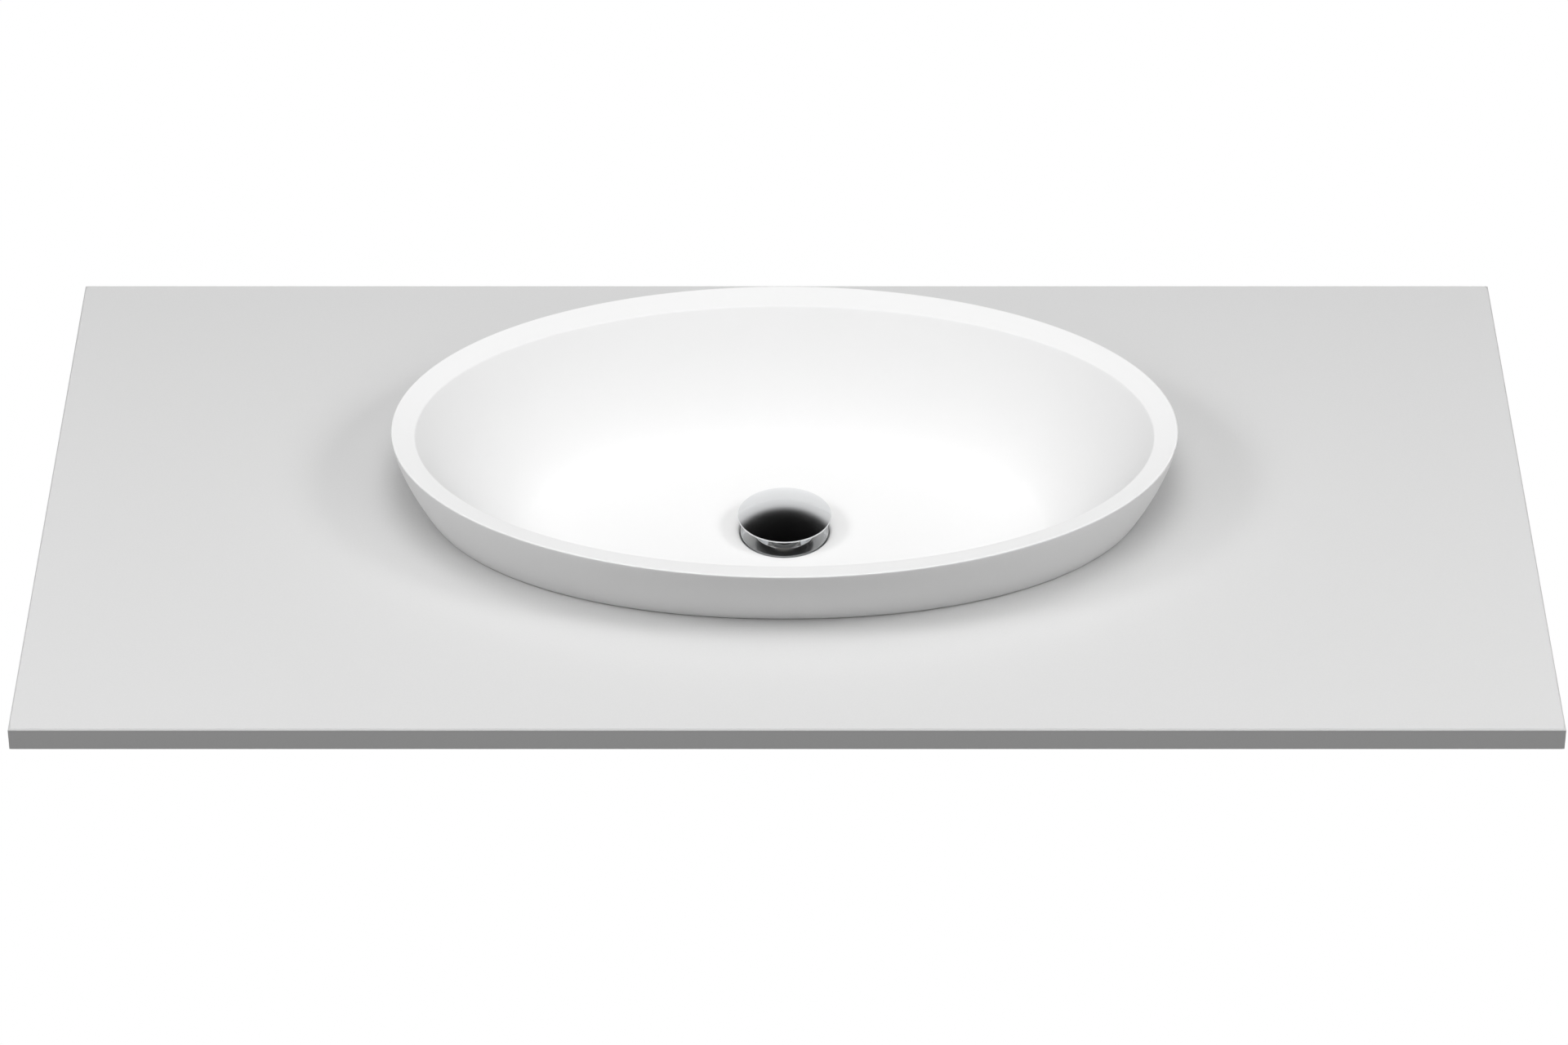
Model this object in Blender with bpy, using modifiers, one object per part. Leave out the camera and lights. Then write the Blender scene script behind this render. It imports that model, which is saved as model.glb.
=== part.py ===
"""Semi-inset oval basin with a click-clack waste, each piece a separate solid.

Metres, +Z up. The origin is the centre of the basin's outline, on the plane of the bench that the
basin sits in. +X runs along the basin and its front faces -Y. The waste hangs on the Z axis, with its
cap raised, as it is when the basin drains. Heights of the waste's pieces are measured from the top of
its flange, which lies flush with the bowl's floor.
"""

import math

import bmesh
import bpy
import numpy as np
from mathutils import Matrix

# Basin: outer form
BASIN_LENGTH = 0.480
BASIN_WIDTH = 0.312
RIM_HEIGHT = 0.045
RIM_LAND_AT_ENDS = 0.0145
RIM_LAND_AT_SIDES = 0.0167
RIM_FALL = 0.0043
RIM_EDGE_RADIUS = 0.0013
WALL_TAPER = 0.0188
WALL_BULGE_SHARE = 1.37
FOOT_FULLNESS_SHARE = 2.10
FOOT_CHAMFER = 0.001

# Basin: bowl and underside
BOWL_DEPTH = 0.0781
FLOOR_LENGTH = 0.316
FLOOR_WIDTH = 0.168
FLOOR_FALL = 0.0041
BOWL_WALL_SHARE = 0.72
BOWL_CORNER_SHARE = 2.8
SHELL_THICKNESS = 0.0115
BOSS_DIAMETER = 0.076
BOSS_DEPTH = 0.020
BOSS_DRAFT = 0.006
BOSS_EDGE = 0.001
WASTE_HOLE_DIAMETER = 0.0448

# Waste body
FLANGE_DIAMETER = 0.0545
FLANGE_THICKNESS = 0.0025
FLANGE_EDGE = 0.0005
MOUTH_DIAMETER = 0.0342
MOUTH_ROUNDING = 0.0025
MOUTH_DEPTH = 0.0035
MOUTH_RELIEF = 0.0015
BORE_DIAMETER = 0.0366
THREAD_DIAMETER = 0.0416
BODY_LENGTH = 0.070
TAIL_CHAMFER = 0.0006
SPIDER_TOP = 0.015
SPIDER_BOSS_DIAMETER = 0.023
SPIDER_BOSS_HEIGHT = 0.009
SPIDER_ARM_WIDTH = 0.003
SPIDER_ARM_HEIGHT = 0.006
SPIDER_ARM_DROP = 0.001
SPIDER_ARM_ROOT = 0.001

# Seals and nut that clamp the waste
FLANGE_SEAL_THICKNESS = 0.0012
FLANGE_SEAL_INSET = 0.001
LOWER_SEAL_DIAMETER = 0.066
LOWER_SEAL_THICKNESS = 0.0057
LOWER_SEAL_TAPER = 0.0018
SLIP_WASHER_DIAMETER = 0.064
SLIP_WASHER_THICKNESS = 0.0015
BACK_NUT_FLATS = 0.052
BACK_NUT_HEIGHT = 0.008
NUT_CHAMFER = math.radians(30)

# Cap, with its core, seal, stud and locknut
CAP_DIAMETER = 0.0578
CAP_LIFT = 0.0111
CAP_TRAVEL = 0.0104
CAP_RIM_HEIGHT = 0.001
CAP_DOME_HEIGHT = 0.006
CAP_SHELL_THICKNESS = 0.0012
CORE_WEB_THICKNESS = 0.0018
CORE_BOSS_DIAMETER = 0.014
CORE_BOSS_BOTTOM = 0.0079
CORE_SEAT_DIAMETER = 0.030
CORE_LIP_DIAMETER = 0.0164
CORE_SKIN = 0.0017
CAP_SEAL_DIAMETER = 0.0358
CAP_SEAL_THICKNESS = 0.0025
CAP_SEAL_TAPER = 0.0017
CAP_SEAL_FOOT = 0.001
CAP_SEAL_STEP = 0.0008
CAP_SEAL_WEB = 0.0012
STUD_DIAMETER = 0.005
STUD_GRIP = 0.0076
LOCKNUT_FLATS = 0.008
LOCKNUT_HEIGHT = 0.0027

# Cartridge: barrel, bush, wiper ring and washer
BARREL_DIAMETER = 0.0174
BARREL_WALL = 0.0015
BARREL_FLOOR = 0.0015
COLLAR_FLATS = 0.020
COLLAR_HEIGHT = 0.0045
BARREL_LIP = 0.001
CARTRIDGE_WASHER_THICKNESS = 0.001
CARTRIDGE_WASHER_DIAMETER = 0.022
BUSH_FLANGE_DIAMETER = 0.017
BUSH_FLANGE_THICKNESS = 0.0015
BUSH_GUIDE_DEPTH = 0.0033
O_RING_SECTION = 0.0016
DRAIN_DIAMETER = 0.0058

# Plunger with its index track, index ring and spring
STEM_DIAMETER = 0.008
SKIRT_DIAMETER = 0.0112
SKIRT_SHOULDER = 0.001
SPIGOT_DIAMETER = 0.0052
SPIGOT_LENGTH = 0.007
TRACK_DEPTH = 0.0012
PEG_DIAMETER = 0.0018
PEG_CLEARANCE = 0.00025
LATCH_TRAVEL = 0.0096
PRESS_TURN = math.radians(70)
LATCH_TURN = math.radians(90)
INDEX_RING_HEIGHT = 0.005
SPRING_WIRE = 0.001
SPRING_COILS = 5
SPRING_COIL_DIAMETER = 0.0092
SPRING_PRESSED_LENGTH = 0.0085

# Clearances that the pieces share
SEAT_GAP = 0.0003
RUNNING_GAP = 0.0003
THREAD_GAP = 0.0003
FLANGE_GAP = 0.0007
CUT_OVERRUN = 0.001

# Fineness of the meshes
AROUND_BASIN = 64
AROUND_WASTE = 40
AROUND_BODY = 32
AROUND_SMALL = 28
AROUND_TRACK = 48
AROUND_PEG = 12
BOWL_STEPS = 10
FLOOR_STEPS = 4
WALL_STEPS = 6
DOME_STEPS = 7
WEB_STEPS = 3
MOUTH_STEPS = 3
POINTS_PER_COIL = 9
MERGE_DISTANCE = 0.00001
SHARP_ANGLE = math.radians(35)

# Sizes that follow from those above
BASIN_FLOOR = RIM_HEIGHT - BOWL_DEPTH
FLANGE_RADIUS = FLANGE_DIAMETER / 2
REBATE_RADIUS = FLANGE_RADIUS + FLANGE_GAP
REBATE_DEPTH = FLANGE_THICKNESS + FLANGE_SEAL_THICKNESS + 2 * SEAT_GAP
BORE_RADIUS = BORE_DIAMETER / 2
THREAD_RADIUS = THREAD_DIAMETER / 2
CLAMP_BORE_RADIUS = THREAD_RADIUS + THREAD_GAP
LOWER_SEAL_TOP = -BOSS_DEPTH - SEAT_GAP
SLIP_WASHER_TOP = LOWER_SEAL_TOP - LOWER_SEAL_THICKNESS - SEAT_GAP
BACK_NUT_TOP = SLIP_WASHER_TOP - SLIP_WASHER_THICKNESS - SEAT_GAP

CAP_RADIUS = CAP_DIAMETER / 2
CAP_RIM_TOP = CAP_LIFT + CAP_RIM_HEIGHT
DOME_RADIUS = (CAP_RADIUS**2 + CAP_DOME_HEIGHT**2) / (2 * CAP_DOME_HEIGHT)
DOME_CENTRE = CAP_RIM_TOP + CAP_DOME_HEIGHT - DOME_RADIUS
STUD_SOCKET_RADIUS = STUD_DIAMETER / 2 + THREAD_GAP

BARREL_RADIUS = BARREL_DIAMETER / 2
BARREL_BORE_RADIUS = BARREL_RADIUS - BARREL_WALL
COLLAR_BOTTOM = -SPIDER_TOP + CARTRIDGE_WASHER_THICKNESS + 2 * SEAT_GAP
BARREL_TOP = COLLAR_BOTTOM + COLLAR_HEIGHT + BARREL_LIP
BUSH_TOP = BARREL_TOP + SEAT_GAP + BUSH_FLANGE_THICKNESS
STEM_TOP = BUSH_TOP + CAP_TRAVEL + RUNNING_GAP
STEM_RADIUS = STEM_DIAMETER / 2
LOCKNUT_BOTTOM = STEM_TOP + SEAT_GAP

SKIRT_RADIUS = SKIRT_DIAMETER / 2
SLEEVE_RADIUS = SKIRT_RADIUS + RUNNING_GAP
SLEEVE_OUTER_RADIUS = BARREL_BORE_RADIUS - RUNNING_GAP
TRACK_HALF_WIDTH = PEG_DIAMETER / 2 + PEG_CLEARANCE
SKIRT_TOP = BARREL_TOP - BUSH_GUIDE_DEPTH - RUNNING_GAP
PEG_HEIGHT = SKIRT_TOP - SKIRT_SHOULDER - TRACK_HALF_WIDTH - CAP_TRAVEL
SKIRT_BOTTOM = PEG_HEIGHT - TRACK_HALF_WIDTH - SKIRT_SHOULDER
INDEX_RING_TOP = PEG_HEIGHT + INDEX_RING_HEIGHT / 2
INDEX_RING_BOTTOM = PEG_HEIGHT - INDEX_RING_HEIGHT / 2
BARREL_FLOOR_TOP = SKIRT_BOTTOM - CAP_TRAVEL - SPRING_PRESSED_LENGTH


def clear_scene():
    """Removes what the scene holds, and returns the collections for the pieces and for the cutters."""
    for obj in list(bpy.data.objects):
        bpy.data.objects.remove(obj, do_unlink=True)
    found = []
    for name in ("semi_inset_basin", "cutters"):
        collection = bpy.data.collections.new(name)
        bpy.context.scene.collection.children.link(collection)
        found.append(collection)
    return found


PIECES, CUTTERS = clear_scene()


def axis_of_waste():
    """The empty at the middle of the flange's top. The cap slides and the index ring turns on its Z axis."""
    empty = bpy.data.objects.new("waste_axis", None)
    PIECES.objects.link(empty)
    empty.location = (0, 0, BASIN_FLOOR)
    return empty


WASTE_AXIS = axis_of_waste()


def finish(name, colour, roughness, metallic=0.0):
    """A Principled material."""
    made = bpy.data.materials.new(name)
    made.use_nodes = True
    shader = made.node_tree.nodes["Principled BSDF"]
    shader.inputs["Base Color"].default_value = (*colour, 1)
    shader.inputs["Roughness"].default_value = roughness
    shader.inputs["Metallic"].default_value = metallic
    return made


def cast_white(name):
    return finish(name, (0.93, 0.93, 0.93), 0.45)


def chrome(name):
    return finish(name, (0.80, 0.81, 0.82), 0.06, 1.0)


def brass(name):
    return finish(name, (0.78, 0.60, 0.32), 0.28, 1.0)


def black_rubber(name):
    return finish(name, (0.03, 0.03, 0.03), 0.7)


def white_foam(name):
    return finish(name, (0.82, 0.82, 0.80), 0.85)


def nylon(name):
    return finish(name, (0.80, 0.79, 0.74), 0.45)


def grey_acetal(name):
    return finish(name, (0.45, 0.46, 0.47), 0.4)


def white_acetal(name):
    return finish(name, (0.85, 0.85, 0.84), 0.35)


def red_fibre(name):
    return finish(name, (0.45, 0.12, 0.08), 0.75)


def spring_steel(name):
    return finish(name, (0.62, 0.62, 0.61), 0.25, 1.0)


def into(obj, collection):
    """Moves an object to a collection."""
    for other in list(obj.users_collection):
        other.objects.unlink(obj)
    collection.objects.link(obj)


def keep(obj, material, parent=None):
    """Names a finished piece's material after it, and puts the piece on the axis of the waste if it has one."""
    into(obj, PIECES)
    obj.parent = parent
    obj.data.materials.clear()
    obj.data.materials.append(material(obj.name))
    return obj


def combine(obj, operation, *others):
    """Joins helpers to a piece, cuts them from it, or keeps what they share."""
    for other in others:
        into(other, CUTTERS)
        other.parent = WASTE_AXIS
        other.hide_render = True
        other.display_type = "WIRE"
        modifier = obj.modifiers.new(other.name, "BOOLEAN")
        modifier.operation = operation
        modifier.solver = "EXACT"
        modifier.object = other


def turned(name, outline, around):
    """A turned solid. Its outline of (radius, height) pairs runs down the outer side.

    An outline that starts and ends on the axis is solid there. Any other closes on itself as a ring.
    """
    count = len(outline)
    on_axis = outline[0][0] == 0
    edges = [(index, (index + 1) % count) for index in range(count - 1 if on_axis else count)]
    mesh = bpy.data.meshes.new(name)
    mesh.from_pydata([(radius, 0, height) for radius, height in outline], edges, [])
    obj = bpy.data.objects.new(name, mesh)
    CUTTERS.objects.link(obj)
    screw = obj.modifiers.new("turned", "SCREW")
    screw.steps = around
    screw.render_steps = around
    screw.use_merge_vertices = True
    screw.merge_threshold = MERGE_DISTANCE
    screw.use_smooth_shade = True
    return obj


def prism(name, sides, radius, bottom, top):
    """An upright prism on the axis, or a cylinder where it has many sides."""
    bpy.ops.mesh.primitive_cylinder_add(vertices=sides, radius=radius, depth=top - bottom)
    obj = bpy.context.object
    obj.name = name
    obj.location = (0, 0, (top + bottom) / 2)
    return obj


def bar(name, length, width, bottom, top):
    """A bar along X through the axis."""
    bpy.ops.mesh.primitive_cube_add(size=1)
    obj = bpy.context.object
    obj.name = name
    obj.data.transform(Matrix.Diagonal((length, width, top - bottom, 1)))
    obj.location = (0, 0, (top + bottom) / 2)
    return obj


def ring_loft(name, rows):
    """A body through a round of sections with the same number of points, the last joined to the first."""
    rows = np.asarray(rows)
    count, around = rows.shape[:2]
    faces = []
    for row in range(count):
        for column in range(around):
            corners = ((row, column), (row, column + 1), (row + 1, column + 1), (row + 1, column))
            faces.append([(r % count) * around + c % around for r, c in corners])
    mesh = bpy.data.meshes.new(name)
    mesh.from_pydata(rows.reshape(-1, 3).tolist(), [], faces)
    shaped = bmesh.new()
    shaped.from_mesh(mesh)
    bmesh.ops.recalc_face_normals(shaped, faces=shaped.faces)
    shaped.to_mesh(mesh)
    shaped.free()
    mesh.shade_smooth()
    mesh.set_sharp_from_angle(angle=SHARP_ANGLE)
    obj = bpy.data.objects.new(name, mesh)
    CUTTERS.objects.link(obj)
    return obj


def oval(half_length, half_width, fullness, height):
    """The points of a level superellipse, which is an ellipse where its fullness is 2."""
    turn = np.linspace(0, 2 * math.pi, AROUND_BASIN, endpoint=False)
    across, along = np.cos(turn), np.sin(turn)
    x = half_length * np.sign(across) * abs(across) ** (2 / fullness)
    y = half_width * np.sign(along) * abs(along) ** (2 / fullness)
    return np.column_stack([x, y, np.full(AROUND_BASIN, height)])


def rim_and_wall():
    """Sections from the rim's inner edge over its land and rounded lip, and down the tapered wall."""
    half_length, half_width = BASIN_LENGTH / 2, BASIN_WIDTH / 2
    inner_height = RIM_HEIGHT - RIM_FALL
    land_tilt = math.atan(RIM_FALL / RIM_LAND_AT_SIDES)
    rows = []
    for inset in (0, RIM_EDGE_RADIUS):
        rows.append((
            half_length - RIM_LAND_AT_ENDS + inset,
            half_width - RIM_LAND_AT_SIDES + inset,
            2,
            inner_height + inset * math.tan(land_tilt),
        ))
    for angle in (math.pi / 2 + land_tilt, math.pi / 2, math.pi / 4):
        out = RIM_EDGE_RADIUS * (math.cos(angle) - 1)
        rise = RIM_EDGE_RADIUS * (math.sin(angle) - 1)
        rows.append((half_length + out, half_width + out, 2, RIM_HEIGHT + rise))
    wall_top = RIM_HEIGHT - RIM_EDGE_RADIUS
    for height in np.linspace(wall_top, FOOT_CHAMFER, WALL_STEPS):
        fall_share = 1 - height / wall_top
        inset = WALL_TAPER * fall_share**WALL_BULGE_SHARE
        fullness = 2 + (FOOT_FULLNESS_SHARE - 2) * fall_share
        rows.append((half_length - inset, half_width - inset, fullness, height))
    foot = WALL_TAPER + FOOT_CHAMFER
    rows.append((half_length - foot, half_width - foot, FOOT_FULLNESS_SHARE, 0))
    return rows


def bowl():
    """Sections down the bowl's steep wall, round its corner and over its falling floor to the waste."""
    half_length = BASIN_LENGTH / 2 - RIM_LAND_AT_ENDS
    half_width = BASIN_WIDTH / 2 - RIM_LAND_AT_SIDES
    top = RIM_HEIGHT - RIM_FALL
    floor_edge = BASIN_FLOOR + FLOOR_FALL
    rows = []
    for turn in np.linspace(0, math.pi / 2, BOWL_STEPS + 1)[1:]:
        down_share = math.sin(turn) ** (2 / BOWL_CORNER_SHARE)
        corner_share = 1 - max(math.cos(turn), 0) ** (2 / BOWL_CORNER_SHARE)
        in_share = BOWL_WALL_SHARE * down_share + (1 - BOWL_WALL_SHARE) * corner_share
        rows.append((
            half_length + (FLOOR_LENGTH / 2 - half_length) * in_share,
            half_width + (FLOOR_WIDTH / 2 - half_width) * in_share,
            2,
            top + (floor_edge - top) * down_share,
        ))
    for share in np.linspace(0, 1, FLOOR_STEPS + 1)[1:]:
        rows.append((
            FLOOR_LENGTH / 2 + (REBATE_RADIUS - FLOOR_LENGTH / 2) * share,
            FLOOR_WIDTH / 2 + (REBATE_RADIUS - FLOOR_WIDTH / 2) * share,
            2,
            floor_edge - FLOOR_FALL * (1 - math.cos(share * math.pi / 2)),
        ))
    return rows


def underside(inner):
    """Sections of the shell's underside, from the ledge that rests on the bench down to the waste's boss.

    They lie one shell thickness outside the bowl, square to the profile midway between end and side.
    """
    inner = np.array(inner)
    mean = (inner[:, 0] + inner[:, 1]) / 2
    slope = np.column_stack([np.gradient(mean), np.gradient(inner[:, 3])])
    slope /= np.linalg.norm(slope, axis=1)[:, None]
    outer = inner.copy()
    outer[:, 0] -= SHELL_THICKNESS * slope[:, 1]
    outer[:, 1] -= SHELL_THICKNESS * slope[:, 1]
    outer[:, 3] += SHELL_THICKNESS * slope[:, 0]
    ledge = [np.interp(0, -outer[:, 3], outer[:, column]) for column in range(2)]
    clear_of_boss = outer[:, 1] > BOSS_DIAMETER / 2 + BOSS_DRAFT + BOSS_EDGE
    return [(*ledge, 2, 0), *outer[clear_of_boss & (outer[:, 3] < -BOSS_EDGE)].tolist()]


def waste_boss():
    """Sections round the boss, up the waste's hole and out over the floor of the flange's rebate."""
    radius, hole = BOSS_DIAMETER / 2, WASTE_HOLE_DIAMETER / 2
    bottom = BASIN_FLOOR - BOSS_DEPTH
    rebate = BASIN_FLOOR - REBATE_DEPTH
    profile = (
        (radius + BOSS_DRAFT, BASIN_FLOOR - SHELL_THICKNESS),
        (radius, bottom + BOSS_EDGE),
        (radius - BOSS_EDGE, bottom),
        (hole, bottom),
        (hole, rebate),
        (REBATE_RADIUS, rebate),
    )
    return [(reach, reach, 2, height) for reach, height in profile]


def build_basin():
    inner = bowl()
    rows = [*rim_and_wall(), *underside(inner), *waste_boss(), *reversed(inner)]
    keep(ring_loft("basin", [oval(*row) for row in rows]), cast_white)


def build_waste_body():
    """The flanged, threaded tube with its rounded mouth, and the spider that carries the cartridge."""
    mouth = MOUTH_DIAMETER / 2
    outline = [
        (FLANGE_RADIUS - FLANGE_EDGE, 0),
        (FLANGE_RADIUS, -FLANGE_EDGE),
        (FLANGE_RADIUS, -FLANGE_THICKNESS),
        (THREAD_RADIUS, -FLANGE_THICKNESS),
        (THREAD_RADIUS, TAIL_CHAMFER - BODY_LENGTH),
        (THREAD_RADIUS - TAIL_CHAMFER, -BODY_LENGTH),
        (BORE_RADIUS, -BODY_LENGTH),
        (BORE_RADIUS, -MOUTH_DEPTH - MOUTH_RELIEF),
        (mouth, -MOUTH_DEPTH),
    ]
    for angle in np.linspace(0, math.pi / 2, MOUTH_STEPS):
        outline.append((mouth + MOUTH_ROUNDING * (1 - math.cos(angle)), MOUTH_ROUNDING * (math.sin(angle) - 1)))
    tube = turned("waste_body", outline, AROUND_BODY)
    boss = prism("spider_boss", AROUND_SMALL, SPIDER_BOSS_DIAMETER / 2,
                 -SPIDER_TOP - SPIDER_BOSS_HEIGHT, -SPIDER_TOP)
    arm_top = -SPIDER_TOP - SPIDER_ARM_DROP
    reach = 2 * (BORE_RADIUS + SPIDER_ARM_ROOT)
    arms = [bar(f"spider_arms_{side}", reach, SPIDER_ARM_WIDTH, arm_top - SPIDER_ARM_HEIGHT, arm_top)
            for side in ("along", "across")]
    arms[1].rotation_euler = (0, 0, math.pi / 2)
    combine(tube, "UNION", boss, *arms)
    combine(tube, "DIFFERENCE", prism(
        "cartridge_hole", AROUND_SMALL, BARREL_RADIUS + THREAD_GAP,
        -SPIDER_TOP - SPIDER_BOSS_HEIGHT - CUT_OVERRUN, CUT_OVERRUN - SPIDER_TOP,
    ))
    keep(tube, chrome, WASTE_AXIS)


def washer(name, inner, outer, top, thickness, around=AROUND_SMALL, top_chamfer=0.0):
    """A flat ring, with a cone round its top where it has a top chamfer."""
    outline = [(inner, top), (outer, top), (outer, top - thickness), (inner, top - thickness)]
    if top_chamfer:
        outline[1:2] = [(outer - top_chamfer, top), (outer, top - top_chamfer)]
    return turned(name, outline, around)


def build_clamp():
    """The foam seal above the basin's boss, and the rubber seal, slip washer and nut below it."""
    seal = washer("flange_seal", CLAMP_BORE_RADIUS, FLANGE_RADIUS - FLANGE_SEAL_INSET,
                  -FLANGE_THICKNESS - SEAT_GAP, FLANGE_SEAL_THICKNESS)
    keep(seal, white_foam, WASTE_AXIS)
    cone = washer("lower_seal", CLAMP_BORE_RADIUS, LOWER_SEAL_DIAMETER / 2,
                  LOWER_SEAL_TOP, LOWER_SEAL_THICKNESS, top_chamfer=LOWER_SEAL_TAPER)
    keep(cone, black_rubber, WASTE_AXIS)
    slip = washer("slip_washer", CLAMP_BORE_RADIUS, SLIP_WASHER_DIAMETER / 2,
                  SLIP_WASHER_TOP, SLIP_WASHER_THICKNESS)
    keep(slip, nylon, WASTE_AXIS)
    nut = hex_nut("back_nut", BACK_NUT_FLATS, CLAMP_BORE_RADIUS,
                  BACK_NUT_TOP - BACK_NUT_HEIGHT, BACK_NUT_TOP)
    keep(nut, brass, WASTE_AXIS)


def hex_nut(name, flats, bore, bottom, top):
    """A hexagonal nut whose corners are turned away above and below, on its bore."""
    nut = prism(name, 6, flats / math.sqrt(3), bottom, top)
    nut.parent = WASTE_AXIS
    slope = math.tan(NUT_CHAMFER)
    reach = flats / math.sqrt(3) + CUT_OVERRUN
    apex = flats / 2 * slope
    crowned = turned(f"{name}_crown", (
        (0, top + apex),
        (reach, top + apex - reach * slope),
        (reach, bottom - apex + reach * slope),
        (0, bottom - apex),
    ), AROUND_WASTE)
    combine(nut, "INTERSECT", crowned)
    combine(nut, "DIFFERENCE",
            prism(f"{name}_bore", AROUND_SMALL, bore, bottom - CUT_OVERRUN, top + CUT_OVERRUN))
    return nut


def dome(inside, reaches):
    """The (radius, height) points of the cap's sphere, or of one that lies so far inside it."""
    radius = DOME_RADIUS - inside
    return [(reach, DOME_CENTRE + math.sqrt(radius**2 - reach**2)) for reach in reaches]


def build_cap():
    """The chromed shell, a shallow dome with a narrow upright rim."""
    inner_reach = CAP_RADIUS - CAP_SHELL_THICKNESS
    outline = dome(0, np.linspace(0, CAP_RADIUS, DOME_STEPS))
    outline += [(CAP_RADIUS, CAP_LIFT), (inner_reach, CAP_LIFT)]
    outline += dome(CAP_SHELL_THICKNESS, np.linspace(inner_reach, 0, DOME_STEPS))
    keep(turned("plug_cap", outline, AROUND_WASTE), chrome, WASTE_AXIS)


def build_cap_core():
    """The moulded carrier under the dome, whose boss holds the seal by a lip, and the parts it holds."""
    reach = CAP_RADIUS - CAP_SHELL_THICKNESS - SEAT_GAP
    top_gap = CAP_SHELL_THICKNESS + SEAT_GAP
    boss, lip = CORE_BOSS_DIAMETER / 2, CORE_LIP_DIAMETER / 2
    seat = CAP_LIFT - SEAT_GAP
    seal_top = seat - SEAT_GAP
    web_bottom = seal_top - CAP_SEAL_WEB
    socket_top = dome(top_gap, [0])[0][1] - CORE_SKIN
    outline = dome(top_gap, np.linspace(0, reach, DOME_STEPS))
    outline.append((reach, seat))
    outline.append((CORE_SEAT_DIAMETER / 2, seat))
    outline += dome(top_gap + CORE_WEB_THICKNESS, np.linspace(CORE_SEAT_DIAMETER / 2, boss, WEB_STEPS))
    outline += [(boss, web_bottom - SEAT_GAP), (lip, web_bottom - SEAT_GAP), (lip, CORE_BOSS_BOTTOM)]
    outline += [(STUD_SOCKET_RADIUS, CORE_BOSS_BOTTOM), (STUD_SOCKET_RADIUS, socket_top), (0, socket_top)]
    keep(turned("cap_core", outline, AROUND_WASTE), white_acetal, WASTE_AXIS)

    outer = CAP_SEAL_DIAMETER / 2
    foot = outer - CAP_SEAL_TAPER - CAP_SEAL_FOOT
    seal = turned("cap_seal", (
        (boss + SEAT_GAP, seal_top),
        (outer, seal_top),
        (outer - CAP_SEAL_TAPER, seal_top - CAP_SEAL_THICKNESS),
        (foot, seal_top - CAP_SEAL_THICKNESS),
        (foot - CAP_SEAL_STEP, web_bottom),
        (boss + SEAT_GAP, web_bottom),
    ), AROUND_WASTE)
    keep(seal, black_rubber, WASTE_AXIS)

    stud_top = socket_top - SEAT_GAP
    stud = prism("cap_stud", AROUND_SMALL, STUD_DIAMETER / 2, STEM_TOP - STUD_GRIP, stud_top)
    keep(stud, brass, WASTE_AXIS)
    locknut = hex_nut("stud_locknut", LOCKNUT_FLATS, STUD_SOCKET_RADIUS,
                      LOCKNUT_BOTTOM, LOCKNUT_BOTTOM + LOCKNUT_HEIGHT)
    keep(locknut, brass, WASTE_AXIS)


def build_cartridge():
    """The barrel with its hexagonal collar, the bush that closes it, the wiper ring and the washer."""
    barrel = prism("cartridge_housing", 6, COLLAR_FLATS / math.sqrt(3),
                   COLLAR_BOTTOM, COLLAR_BOTTOM + COLLAR_HEIGHT)
    barrel.parent = WASTE_AXIS
    bottom = BARREL_FLOOR_TOP - BARREL_FLOOR
    combine(barrel, "UNION", prism("barrel_tube", AROUND_SMALL, BARREL_RADIUS, bottom, BARREL_TOP))
    shoulder = INDEX_RING_BOTTOM - RUNNING_GAP
    drain = DRAIN_DIAMETER / 2
    combine(barrel, "DIFFERENCE", turned("barrel_bore", (
        (0, BARREL_TOP + CUT_OVERRUN),
        (BARREL_BORE_RADIUS, BARREL_TOP + CUT_OVERRUN),
        (BARREL_BORE_RADIUS, shoulder),
        (SLEEVE_RADIUS, shoulder),
        (SLEEVE_RADIUS, BARREL_FLOOR_TOP),
        (drain, BARREL_FLOOR_TOP),
        (drain, bottom - CUT_OVERRUN),
        (0, bottom - CUT_OVERRUN),
    ), AROUND_SMALL))
    keep(barrel, white_acetal, WASTE_AXIS)

    guide = STEM_RADIUS + RUNNING_GAP
    ring_seat = guide + O_RING_SECTION + SEAT_GAP
    ring_floor = BUSH_TOP - O_RING_SECTION - SEAT_GAP
    bush = turned("cartridge_cap", (
        (ring_seat, BUSH_TOP),
        (BUSH_FLANGE_DIAMETER / 2, BUSH_TOP),
        (BUSH_FLANGE_DIAMETER / 2, BARREL_TOP + SEAT_GAP),
        (SLEEVE_OUTER_RADIUS, BARREL_TOP + SEAT_GAP),
        (SLEEVE_OUTER_RADIUS, INDEX_RING_TOP + RUNNING_GAP),
        (SLEEVE_RADIUS, INDEX_RING_TOP + RUNNING_GAP),
        (SLEEVE_RADIUS, BARREL_TOP - BUSH_GUIDE_DEPTH),
        (guide, BARREL_TOP - BUSH_GUIDE_DEPTH),
        (guide, ring_floor),
        (ring_seat, ring_floor),
    ), AROUND_SMALL)
    keep(bush, grey_acetal, WASTE_AXIS)

    section = O_RING_SECTION / 2
    bpy.ops.mesh.primitive_torus_add(major_radius=guide + section, minor_radius=section,
                                     major_segments=AROUND_SMALL, minor_segments=POINTS_PER_COIL)
    o_ring = bpy.context.object
    o_ring.name = "stem_o_ring"
    o_ring.location = (0, 0, ring_floor + section + SEAT_GAP / 2)
    keep(o_ring, black_rubber, WASTE_AXIS)

    gasket = washer("cartridge_washer", BARREL_RADIUS + THREAD_GAP, CARTRIDGE_WASHER_DIAMETER / 2,
                    COLLAR_BOTTOM - SEAT_GAP, CARTRIDGE_WASHER_THICKNESS)
    keep(gasket, red_fibre, WASTE_AXIS)


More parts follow.
